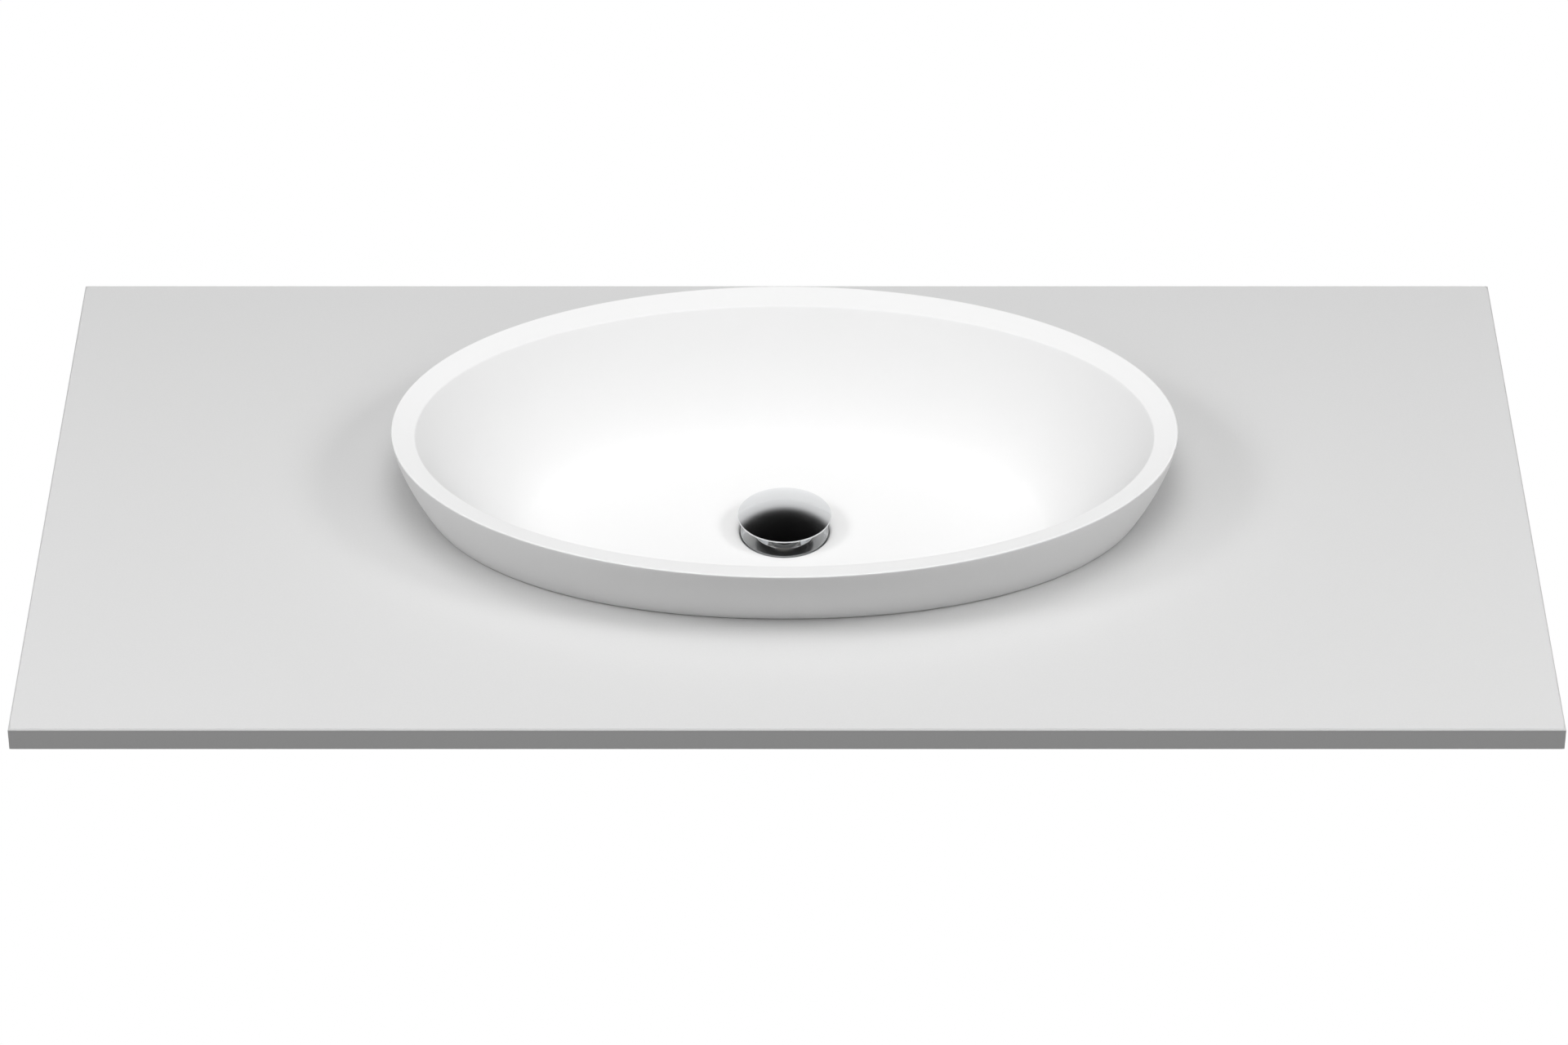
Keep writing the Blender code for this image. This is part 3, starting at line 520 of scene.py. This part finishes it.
body_thread = (pipe_radius, pipe_pitch, pipe_thread_depth, tail_end, pipe_thread_top)
body_side = side_rows(pipe_radius, pipe_thread_top, tail_end + 2 * tail_rounding, count=330)
body_corners = [
    (flange_radius, flange_top),
    (flange_radius, flange_top - flange_thickness),
    (pipe_radius, flange_top - flange_thickness),
    *body_side,
    (pipe_radius - edge_rounding, tail_end),
    (bore_radius, tail_end),
    (bore_radius, flange_top - mouth_depth - mouth_relief),
    (mouth_radius, flange_top - mouth_depth),
    (mouth_radius, flange_top),
]
body_reach = [
    flange_rounding, *[edge_rounding] * 2, *np.zeros(len(body_side)), *[tail_rounding] * 4, mouth_rounding,
]
spider_side = side_rows(
    spider_hole_radius, spider_bottom + 2 * edge_rounding, spider_top - 2 * edge_rounding, count=100
)
spider_corners = [
    (spider_boss_radius, spider_top),
    (spider_boss_radius, spider_bottom),
    (spider_hole_radius, spider_bottom),
    *spider_side,
    (spider_hole_radius, spider_top),
]
spider_reach = [*[2 * edge_rounding] * 2, edge_rounding, *np.zeros(len(spider_side)), edge_rounding]
spider_thread = (spider_hole_radius, cartridge_pitch, cartridge_thread_depth, spider_bottom, spider_top)
body_piece = grid_mesh(
    "threaded_waste_body",
    turned(rounded(body_corners, body_reach, count=9), around=160, thread=body_thread),
    turned(rounded(spider_corners, spider_reach), around=96, thread=spider_thread),
    *[spider_arm(quarter) for quarter in range(4)],
)
body_piece.data.materials.append(plated("satin_chrome_plate", smooth=0.17, rough=0.21))
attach(body_piece, "basin")
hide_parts("waste_body")


# The upper seal is a thin washer of white closed-cell foam, squeezed between the flange and the
# floor of its rebate, so that its edge bulges.
foam_low, foam_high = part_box("flange_seal")
foam_rounding, thread_gap = 0.0005, 0.0003
clamp_bore_radius = pipe_radius + thread_gap
foam_profile = rounded([
    (foam_high[0], foam_high[2]),
    (foam_high[0], foam_low[2]),
    (clamp_bore_radius, foam_low[2]),
    (clamp_bore_radius, foam_high[2]),
], foam_rounding)
foam_piece = grid_mesh("foam_washer", turned(foam_profile, around=128))
foam, tree, shader = new_finish("white_foam", roughness=0.9)
cells = tree.nodes.new("ShaderNodeTexVoronoi")
cells.inputs["Scale"].default_value = 2600
cell_place = tree.nodes.new("ShaderNodeTexCoord")
tree.links.new(cell_place.outputs["Object"], cells.inputs["Vector"])
colour_between(tree, shader, cells.outputs["Distance"], (0.72, 0.72, 0.70), (0.86, 0.86, 0.84))
relief(tree, shader, cells.outputs["Distance"], depth=0.0002)
foam_piece.data.materials.append(foam)
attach(foam_piece, "basin")
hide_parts("flange_seal")


# The lower seal is a moulded black rubber washer under the basin's boss. Its top tapers towards the
# rim, and two shallow grooves in its side let it give as the nut is tightened.
rubber_low, rubber_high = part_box("lower_seal")
rubber_taper, groove_depth, groove_width, groove_shares = 0.0018, 0.0004, 0.0005, (0.7, 0.35)
rubber_side = rubber_high[2] - rubber_taper - rubber_low[2]
rubber_corners = [
    (rubber_high[0] - rubber_taper, rubber_high[2]),
    (rubber_high[0], rubber_high[2] - rubber_taper),
]
for share in groove_shares:
    middle = rubber_low[2] + share * rubber_side
    rubber_corners += [
        (rubber_high[0], middle + groove_width),
        (rubber_high[0] - groove_depth, middle),
        (rubber_high[0], middle - groove_width),
    ]
rubber_corners += [
    (rubber_high[0], rubber_low[2]),
    (clamp_bore_radius, rubber_low[2]),
    (clamp_bore_radius, rubber_high[2]),
]
rubber_piece = grid_mesh("tapered_rubber_washer", turned(rounded(rubber_corners, edge_rounding), around=160))
rubber, tree, shader = new_finish("black_rubber", roughness=0.6)
bloom = grain(tree, scale=420, detail=4)
colour_between(tree, shader, bloom, (0.018, 0.018, 0.019), (0.042, 0.042, 0.041))
roughness_between(tree, shader, grain(tree, scale=90), smooth=0.5, rough=0.75)
relief(tree, shader, bloom, depth=0.00006)
rubber_piece.data.materials.append(rubber)
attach(rubber_piece, "basin")
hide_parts("lower_seal")


# The slip washer is a thin flat ring moulded in natural nylon. It lies loose between the rubber and
# the nut, and lets the nut turn without dragging the rubber.
slip_low, slip_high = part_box("slip_washer")
slip_profile = rounded([
    (slip_high[0], slip_high[2]),
    (slip_high[0], slip_low[2]),
    (clamp_bore_radius, slip_low[2]),
    (clamp_bore_radius, slip_high[2]),
], 2 * edge_rounding)
slip_piece = grid_mesh("nylon_slip_washer", turned(slip_profile, around=160))
nylon, tree, shader = new_finish("natural_nylon", roughness=0.42)
shader.inputs["Subsurface Weight"].default_value = 0.15
shader.inputs["Subsurface Radius"].default_value = (0.002, 0.002, 0.0015)
flow = grain(tree, scale=60, detail=3, stretch=(1, 1, 4))
colour_between(tree, shader, flow, (0.76, 0.75, 0.69), (0.83, 0.82, 0.77))
roughness_between(tree, shader, grain(tree, scale=300), smooth=0.36, rough=0.5)
relief(tree, shader, grain(tree, scale=900), depth=0.00002)
slip_piece.data.materials.append(nylon)
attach(slip_piece, "basin")
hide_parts("slip_washer")


# The back nut is sawn from hexagonal brass bar. Its corners are turned away at both faces, and its
# thread runs on the body's thread and clamps basin and seals.
nut_low, nut_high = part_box("back_nut")
nut_flats, nut_face_inset, nut_corner_cut, nut_lead = 0.052, 0.0006, 0.0004, 0.0008
crown_slope = math.tan(math.radians(30))


def hexagon(flats, corner_cut, around):
    """The reach of a hexagon by turn, half its flats over the cosine from the nearest flat's middle.

    A circle cuts its corners a little short.
    """
    turn = np.linspace(0, 2 * math.pi, around, endpoint=False)
    from_flat = np.mod(turn + math.pi / 6, math.pi / 3) - math.pi / 6
    return np.minimum(flats / 2 / np.cos(from_flat), flats / math.sqrt(3) - corner_cut)


def carried(corners, around):
    """Corners of a profile, some of them arrays by turn, as one array by corner and turn."""
    by_turn = [[np.broadcast_to(value, around) for value in corner] for corner in corners]
    return np.array(by_turn).swapaxes(1, 2)


def hexagon_nut(flats, face_inset, corner_cut, bore, lead, top, bottom, pitch, depth, around, rows):
    """A nut whose hexagon meets a cone above and below, along the curves where the two are as wide."""
    reach = hexagon(flats, corner_cut, around)
    face = flats / 2 - face_inset
    drop = (reach - face) * crown_slope
    corners = [
        (face, top),
        (reach, top - drop),
        (reach, bottom + drop),
        (face, bottom),
        (bore + lead, bottom),
        *side_rows(bore, bottom + lead, top - lead, count=rows),
        (bore + lead, top),
    ]
    ease = face_inset / 5
    profile = rounded(carried(corners, around), [ease] * 4 + [0] * (rows + 2), count=4)
    return turned(profile, around, thread=(bore, pitch, depth, bottom, top))


def turning_marks(tree, scale):
    """A noise of the distance from the axis and the height, as a lathe's tool leaves on its work."""
    place = tree.nodes.new("ShaderNodeTexCoord")
    level = tree.nodes.new("ShaderNodeVectorMath")
    level.operation = "MULTIPLY"
    level.inputs[1].default_value = (1, 1, 0)
    reach = tree.nodes.new("ShaderNodeVectorMath")
    reach.operation = "LENGTH"
    apart = tree.nodes.new("ShaderNodeSeparateXYZ")
    both = tree.nodes.new("ShaderNodeCombineXYZ")
    noise = tree.nodes.new("ShaderNodeTexNoise")
    noise.noise_dimensions = "2D"
    noise.inputs["Scale"].default_value = scale
    noise.inputs["Detail"].default_value = 1
    tree.links.new(place.outputs["Object"], level.inputs[0])
    tree.links.new(place.outputs["Object"], apart.inputs[0])
    tree.links.new(level.outputs["Vector"], reach.inputs[0])
    tree.links.new(reach.outputs["Value"], both.inputs["X"])
    tree.links.new(apart.outputs["Z"], both.inputs["Y"])
    tree.links.new(both.outputs["Vector"], noise.inputs["Vector"])
    return noise.outputs["Fac"]


nut_piece = grid_mesh("brass_back_nut", hexagon_nut(
    nut_flats, nut_face_inset, nut_corner_cut, bore=clamp_bore_radius, lead=nut_lead,
    top=nut_high[2], bottom=nut_low[2], pitch=pipe_pitch, depth=pipe_thread_depth, around=144, rows=50,
), sharp=25)
brass, tree, shader = new_finish("turned_brass", roughness=0.28, metallic=1)
marks = turning_marks(tree, scale=5200)
tarnish = grain(tree, scale=70, detail=4)
colour_between(tree, shader, tarnish, (0.66, 0.49, 0.24), (0.80, 0.63, 0.34))
roughness_between(tree, shader, marks, smooth=0.2, rough=0.38)
relief(tree, shader, marks, depth=0.00002)
nut_piece.data.materials.append(brass)
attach(nut_piece, "basin")
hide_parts("back_nut")


# The cartridge's washer is punched from red fibre board. The barrel's collar presses it on the
# spider's boss, which seals the two.
fibre_low, fibre_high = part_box("cartridge_washer")
fibre_profile = rounded([
    (fibre_high[0], fibre_high[2]),
    (fibre_high[0], fibre_low[2]),
    (spider_hole_radius, fibre_low[2]),
    (spider_hole_radius, fibre_high[2]),
], edge_rounding / 2)
fibre_piece = grid_mesh("fibre_washer", turned(fibre_profile, around=96))
fibre, tree, shader = new_finish("red_fibre_board", roughness=0.75)
fibres = grain(tree, scale=500, detail=5, stretch=(1, 4, 12))
colour_between(tree, shader, fibres, (0.33, 0.07, 0.045), (0.55, 0.18, 0.12))
relief(tree, shader, fibres, depth=0.00008)
fibre_piece.data.materials.append(fibre)
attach(fibre_piece, "basin")
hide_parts("cartridge_washer")


# The cartridge's barrel is moulded in white acetal. Its hexagonal collar seats on the spider, the
# thread below it holds it there, and a hole in its floor lets water out as the plunger goes down.
barrel_low, barrel_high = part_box("cartridge_housing")
barrel_radius, barrel_bore_radius, track_bore_radius = 0.0087, 0.0072, 0.0059
collar_flats, collar_height, collar_lip, collar_corner_cut = 0.020, 0.0045, 0.001, 0.0003
barrel_neck, barrel_thread_length = 0.0005, 0.012
barrel_floor, drain_radius, running_gap = 0.0015, 0.0029, 0.0003
barrel_top, barrel_end = barrel_high[2], barrel_low[2]
collar_top = barrel_top - collar_lip
collar_bottom = collar_top - collar_height
ring_low, ring_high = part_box("index_ring")
barrel_shoulder = ring_low[2] - running_gap
barrel_points = 144
collar_reach = hexagon(collar_flats, collar_corner_cut, barrel_points)
collar_face = collar_flats / 2 - collar_corner_cut
collar_drop = (collar_reach - collar_face) * crown_slope
thread_start, thread_end = collar_bottom - barrel_neck, collar_bottom - barrel_neck - barrel_thread_length
barrel_side = side_rows(barrel_radius, thread_start, thread_end, count=132)
barrel_corners = [
    (barrel_radius, barrel_top),
    (barrel_radius, collar_top),
    (collar_face, collar_top),
    (collar_reach, collar_top - collar_drop),
    (collar_reach, collar_bottom + collar_drop),
    (collar_face, collar_bottom),
    (barrel_radius, collar_bottom),
    *barrel_side,
    (barrel_radius, barrel_end),
    (drain_radius, barrel_end),
    (drain_radius, barrel_end + barrel_floor),
    (track_bore_radius, barrel_end + barrel_floor),
    (track_bore_radius, barrel_shoulder),
    (barrel_bore_radius, barrel_shoulder),
    (barrel_bore_radius, barrel_top),
]
barrel_reach = [
    *[edge_rounding] * 2, *[edge_rounding / 3] * 4, edge_rounding, *np.zeros(len(barrel_side)),
    4 * edge_rounding, *[edge_rounding] * 6,
]
barrel_profile = rounded(carried(barrel_corners, barrel_points), barrel_reach, count=4)
barrel_thread = (barrel_radius, cartridge_pitch, cartridge_thread_depth, thread_end, thread_start)
barrel_surface = turned(barrel_profile, barrel_points, barrel_thread)
barrel_piece = grid_mesh("cartridge_barrel", barrel_surface, sharp=25)
white_acetal, tree, shader = new_finish("white_acetal", roughness=0.35)
shader.inputs["Subsurface Weight"].default_value = 0.1
shader.inputs["Subsurface Radius"].default_value = (0.0015, 0.0015, 0.0013)
colour_between(tree, shader, grain(tree, scale=80, detail=3), (0.82, 0.82, 0.81), (0.87, 0.87, 0.86))
roughness_between(tree, shader, grain(tree, scale=500), smooth=0.3, rough=0.42)
relief(tree, shader, grain(tree, scale=1500), depth=0.00001)
barrel_piece.data.materials.append(white_acetal)
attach(barrel_piece, "basin")
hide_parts("cartridge_housing")


# The return spring is wound from drawn stainless wire with a closed, ground coil at each end. It
# stands on the barrel's floor and the slide squashes it from there.
spring_low, spring_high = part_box("return_spring")
spring_foot, spring_head = spring_low[2], spring_high[2]
wire_radius, coil_radius, ground_off = 0.0005, 0.0046, 0.0002
live_coils, closed_coils, points_per_coil, wire_points = 5, 1, 64, 16
cap_travel = 0.0104


def spring_surface():
    """A wire round a helix: its height grows by a wire's width over each closed coil and evenly between.

    The wire's section stands in the plane of the axis. Its ends are ground flat, which cuts the
    heights off at the spring's foot and head.
    """
    start, end = spring_foot + wire_radius - ground_off, spring_head - wire_radius + ground_off
    coils = live_coils + 2 * closed_coils
    along = np.linspace(0, coils, points_per_coil * coils + 1)
    end_rise = 2 * wire_radius * closed_coils
    stations = (0, closed_coils, coils - closed_coils, coils)
    height = np.interp(along, stations, (start, start + end_rise, end - end_rise, end))
    height = np.concatenate([height[:1], height, height[-1:]])[::-1, None]
    turn = 2 * math.pi * np.concatenate([along[:1], along, along[-1:]])[::-1, None]
    section = np.full(len(turn), wire_radius)[:, None]
    section[[0, -1]] = 0
    around = np.linspace(0, 2 * math.pi, wire_points, endpoint=False)
    radius = coil_radius + section * np.cos(around)
    z = np.clip(height - section * np.sin(around), spring_foot, spring_head)
    return np.stack([radius * np.cos(turn), radius * np.sin(turn), z], axis=-1)


spring_piece = grid_mesh("return_coil_spring", spring_surface(), sharp=60)
wire, tree, shader = new_finish("drawn_steel_wire", roughness=0.25, metallic=1)
drawn = grain(tree, scale=700, detail=3, stretch=(1, 1, 6))
colour_between(tree, shader, drawn, (0.52, 0.52, 0.51), (0.66, 0.66, 0.65))
roughness_between(tree, shader, drawn, smooth=0.18, rough=0.34)
relief(tree, shader, drawn, depth=0.00001)
spring_piece.data.materials.append(wire)
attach(spring_piece, "basin")
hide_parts("return_spring")
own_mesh(spring_piece)


# The plunger is a white acetal stem with a wider skirt. A zigzag track is moulded into the skirt all
# the way round, which holds the cap down at one press and lets it rise at the next.
plunger_low, plunger_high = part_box("plunger")
stem_top, spigot_end = plunger_high[2], plunger_low[2]
stem_radius, skirt_radius, spigot_radius, socket_radius = 0.004, 0.0056, 0.0026, 0.0028
stud_grip, track_depth, skirt_shoulder = 0.0076, 0.0012, 0.001
peg_radius, peg_clearance, latch_travel = 0.0009, 0.00025, 0.0096
press_turn, latch_turn = math.radians(70), math.radians(90)
peg_height = (ring_low[2] + ring_high[2]) / 2
track_half_width = peg_radius + peg_clearance
plunger_points, path_points = 240, 2401
skirt_top = peg_height + cap_travel + track_half_width + skirt_shoulder
skirt_bottom = peg_height - track_half_width - skirt_shoulder


def track_edges(around):
    """The height of the track's lower and upper edge by turn.

    Unrolled, a peg's path rises from home to the full stroke, dips to the latch, rises again and
    falls home, twice in a turn. The edges enclose a circle of the track's width at each of its points.
    """
    turn = np.linspace(0, 2 * math.pi, around, endpoint=False) % math.pi
    path = np.linspace(-math.pi / 2, 3 * math.pi / 2, path_points)[:, None]
    stations = (0, press_turn, latch_turn, math.pi - press_turn, math.pi)
    travels = (0, cap_travel, latch_travel, cap_travel, 0)
    middle = peg_height + np.interp(path % math.pi, stations, travels)
    away = skirt_radius * (path - turn)
    near = abs(away) < track_half_width
    spread = np.sqrt(np.clip(track_half_width**2 - away**2, 0, None))
    low = np.where(near, middle - spread, np.inf).min(axis=0)
    return low, np.where(near, middle + spread, -np.inf).max(axis=0)


track_low, track_high = track_edges(plunger_points)
track_floor = skirt_radius - track_depth
plunger_corners = [
    (0, stem_top - stud_grip - running_gap),
    (socket_radius, stem_top - stud_grip - running_gap),
    (socket_radius, stem_top),
    (stem_radius, stem_top),
    (stem_radius, skirt_top),
    (skirt_radius, skirt_top),
    (skirt_radius, track_high),
    (track_floor, track_high),
    (track_floor, track_low),
    (skirt_radius, track_low),
    (skirt_radius, skirt_bottom),
    (spigot_radius, skirt_bottom),
    (spigot_radius, spigot_end),
    (0, spigot_end),
]
plunger_reach = [0, *[edge_rounding] * 5, *[edge_rounding / 2] * 4, *[edge_rounding] * 3, 0]
plunger_profile = rounded(carried(plunger_corners, plunger_points), plunger_reach, count=4)
plunger_piece = grid_mesh("tracked_plunger", turned(plunger_profile, plunger_points), sharp=40)
plunger_piece.data.materials.append(white_acetal)
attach(plunger_piece, "plug")
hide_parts("plunger")


# The index ring is moulded in nylon and turns freely between the barrel's shoulder and the bush. Its
# two pegs ride in the track, so that it turns as the plunger slides.
ring_inner, ring_outer = track_bore_radius, barrel_bore_radius - running_gap
peg_inner, peg_outer = track_floor + running_gap, (ring_inner + ring_outer) / 2
rounding_rows, peg_points = 7, 40
ring_profile = rounded([
    (ring_outer, ring_high[2]),
    (ring_outer, ring_low[2]),
    (ring_inner, ring_low[2]),
    (ring_inner, ring_high[2]),
], edge_rounding)


def peg_surface(side):
    """A peg along X, a cylinder whose inner end is rounded by a quarter circle of its own profile."""
    fall = np.linspace(0, math.pi / 2, rounding_rows)
    rounding = peg_radius / 3
    reach = [0, *(peg_radius - rounding * (1 - np.sin(fall))), peg_radius, 0]
    place = [peg_inner, *(peg_inner + rounding * (1 - np.cos(fall))), peg_outer, peg_outer]
    reach, place = np.array(reach)[::-1, None], np.array(place)[::-1, None]
    around = np.linspace(0, 2 * math.pi, peg_points, endpoint=False)
    x, y, z = place + 0 * around, reach * np.cos(around), peg_height + reach * np.sin(around)
    return np.stack([side * x, side * y, z], axis=-1)


ring_surface = turned(ring_profile, around=96)
ring_piece = grid_mesh("pegged_index_ring", ring_surface, peg_surface(side=1), peg_surface(side=-1))
ring_piece.data.materials.append(nylon)
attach(ring_piece, "index")
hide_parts("index_ring")


# The bush is moulded in grey acetal and closes the barrel. Its flange holds the wiper ring, its neck
# guides the stem, and its sleeve keeps the index ring down.
bush_low, bush_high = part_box("cartridge_cap")
bush_radius, bush_flange_thickness, bush_guide_depth = bush_high[0], 0.0015, 0.0033
o_ring_section = 0.0016
guide_radius = stem_radius + running_gap
wiper_seat_radius = guide_radius + o_ring_section + running_gap
wiper_floor = bush_high[2] - o_ring_section - running_gap
bush_profile = rounded([
    (wiper_seat_radius, bush_high[2]),
    (bush_radius, bush_high[2]),
    (bush_radius, bush_high[2] - bush_flange_thickness),
    (ring_outer, bush_high[2] - bush_flange_thickness),
    (ring_outer, bush_low[2]),
    (track_bore_radius, bush_low[2]),
    (track_bore_radius, barrel_top - bush_guide_depth),
    (guide_radius, barrel_top - bush_guide_depth),
    (guide_radius, wiper_floor),
    (wiper_seat_radius, wiper_floor),
], edge_rounding)
bush_piece = grid_mesh("stem_bush", turned(bush_profile, around=112))
grey_acetal, tree, shader = new_finish("grey_acetal", roughness=0.4)
colour_between(tree, shader, grain(tree, scale=90, detail=3), (0.42, 0.43, 0.44), (0.48, 0.49, 0.50))
roughness_between(tree, shader, grain(tree, scale=500), smooth=0.34, rough=0.48)
relief(tree, shader, grain(tree, scale=1500), depth=0.00001)
bush_piece.data.materials.append(grey_acetal)
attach(bush_piece, "basin")
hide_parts("cartridge_cap")


# The wiper ring is a moulded rubber ring of round section. It is pressed into the bush's seat and
# wipes the stem as it slides.
wiper_low, wiper_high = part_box("stem_o_ring")
wiper_points = 32
wiper_turn = np.linspace(math.pi / 2, -3 * math.pi / 2, wiper_points, endpoint=False)
wiper_middle = guide_radius + o_ring_section / 2
wiper_profile = np.column_stack([
    wiper_middle + o_ring_section / 2 * np.cos(wiper_turn),
    (wiper_low[2] + wiper_high[2]) / 2 + o_ring_section / 2 * np.sin(wiper_turn),
])
wiper_piece = grid_mesh("stem_wiper_ring", turned(wiper_profile, around=96))
wiper_piece.data.materials.append(rubber)
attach(wiper_piece, "basin")
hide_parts("stem_o_ring")


# The stud is a headless brass screw, threaded from end to end. It joins the cap to the plunger, and
# turning it sets the cap's height.
stud_low, stud_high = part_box("cap_stud")
stud_radius, stud_pitch, stud_thread_depth, stud_chamfer = 0.0025, 0.0008, 0.00045, 0.0005
stud_side = side_rows(stud_radius, stud_high[2] - stud_chamfer, stud_low[2] + stud_chamfer, count=264)
stud_profile = [
    (0, stud_high[2]),
    (stud_radius - stud_chamfer, stud_high[2]),
    *stud_side,
    (stud_radius - stud_chamfer, stud_low[2]),
    (0, stud_low[2]),
]
stud_thread = (stud_radius, stud_pitch, stud_thread_depth, stud_low[2], stud_high[2])
stud_piece = grid_mesh("threaded_stud", turned(stud_profile, around=48, thread=stud_thread))
stud_piece.data.materials.append(brass)
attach(stud_piece, "plug")
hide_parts("cap_stud")


# The locknut is a thin hexagonal nut of turned brass. It runs on the stud, and tightened on the
# plunger's top it locks the cap's height.
locknut_low, locknut_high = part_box("stud_locknut")
locknut_flats, locknut_face_inset, locknut_corner_cut, locknut_lead = 0.008, 0.0002, 0.00015, 0.0003
stud_hole_radius = stud_radius + thread_gap
locknut_piece = grid_mesh("brass_locknut", hexagon_nut(
    locknut_flats, locknut_face_inset, locknut_corner_cut, bore=stud_hole_radius, lead=locknut_lead,
    top=locknut_high[2], bottom=locknut_low[2], pitch=stud_pitch, depth=stud_thread_depth,
    around=96, rows=36,
), sharp=25)
locknut_piece.data.materials.append(brass)
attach(locknut_piece, "plug")
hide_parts("stud_locknut")


# The cap is pressed from brass sheet into a shallow dome with a narrow upright rim, polished and
# chromed. It is the only part of the waste that stands above the bowl's floor.
cap_low, cap_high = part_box("plug_cap")
cap_radius, cap_dome_height, cap_shell = cap_high[0], 0.006, 0.0012
cap_rim_rounding, dome_rows, dome_rows_inside = 0.00025, 61, 41
cap_foot, cap_top = cap_low[2], cap_high[2]
dome_radius = (cap_radius**2 + cap_dome_height**2) / (2 * cap_dome_height)
dome_centre = cap_top - dome_radius


def dome(inside, reach):
    """The radius and height of points on the dome's sphere, or on one that lies so far inside it."""
    reach = np.asarray(reach, float)
    return np.column_stack([reach, dome_centre + np.sqrt((dome_radius - inside) ** 2 - reach**2)])


cap_inner = cap_radius - cap_shell
cap_outside = dome(0, np.linspace(0, cap_radius, dome_rows))
cap_inside = dome(cap_shell, np.linspace(cap_inner, 0, dome_rows_inside))
cap_corners = [*cap_outside, (cap_radius, cap_foot), (cap_inner, cap_foot), *cap_inside]
cap_reach = [*np.zeros(dome_rows - 1), *[cap_rim_rounding] * 3, *np.zeros(dome_rows_inside)]
cap_piece = grid_mesh("domed_cap", turned(rounded(cap_corners, cap_reach, count=7), around=192))
cap_piece.data.materials.append(plated("polished_chrome_plate", smooth=0.11, rough=0.15))
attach(cap_piece, "plug")
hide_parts("plug_cap")


# The core is moulded in white acetal and is glued into the dome. Its boss holds the seal behind a lip
# and has the stud's socket in its middle.
core_low, core_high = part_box("cap_core")
core_gap, core_web, core_skin = cap_shell + running_gap, 0.0018, 0.0017
core_boss_radius, core_lip_radius, core_seat_radius = 0.007, 0.0082, 0.015
core_rows_above, core_rows_below = 31, 9
seal_low, seal_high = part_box("cap_seal")
seal_web, seal_taper, seal_foot, seal_step = 0.0012, 0.0017, 0.001, 0.0008
core_seat = cap_foot - running_gap
lip_top = seal_high[2] - seal_web - running_gap
core_above = dome(core_gap, np.linspace(0, core_high[0], core_rows_above))
core_below = dome(core_gap + core_web, np.linspace(core_seat_radius, core_boss_radius, core_rows_below))
core_corners = [
    *core_above,
    (core_high[0], core_seat),
    (core_seat_radius, core_seat),
    *core_below,
    (core_boss_radius, lip_top),
    (core_lip_radius, lip_top),
    (core_lip_radius, core_low[2]),
    (stud_hole_radius, core_low[2]),
    (stud_hole_radius, core_high[2] - core_skin),
    (0, core_high[2] - core_skin),
]
core_reach = [
    *np.zeros(core_rows_above), *[edge_rounding] * 2, *np.zeros(core_rows_below), *[edge_rounding] * 4, 0, 0,
]
core_piece = grid_mesh("cap_carrier", turned(rounded(core_corners, core_reach), around=144))
core_piece.data.materials.append(white_acetal)
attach(core_piece, "plug")
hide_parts("cap_core")


# The cap's seal is a black rubber ring on the core's boss. Its tapered lip closes on the waste's
# mouth when the cap is down.
seal_radius = seal_high[0]
seal_foot_radius = seal_radius - seal_taper - seal_foot
seal_profile = rounded([
    (core_boss_radius + running_gap, seal_high[2]),
    (seal_radius, seal_high[2]),
    (seal_radius - seal_taper, seal_low[2]),
    (seal_foot_radius, seal_low[2]),
    (seal_foot_radius - seal_step, seal_high[2] - seal_web),
    (core_boss_radius + running_gap, seal_high[2] - seal_web),
], edge_rounding)
seal_piece = grid_mesh("rubber_lip_seal", turned(seal_profile, around=144))
seal_piece.data.materials.append(rubber)
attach(seal_piece, "plug")
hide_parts("cap_seal")
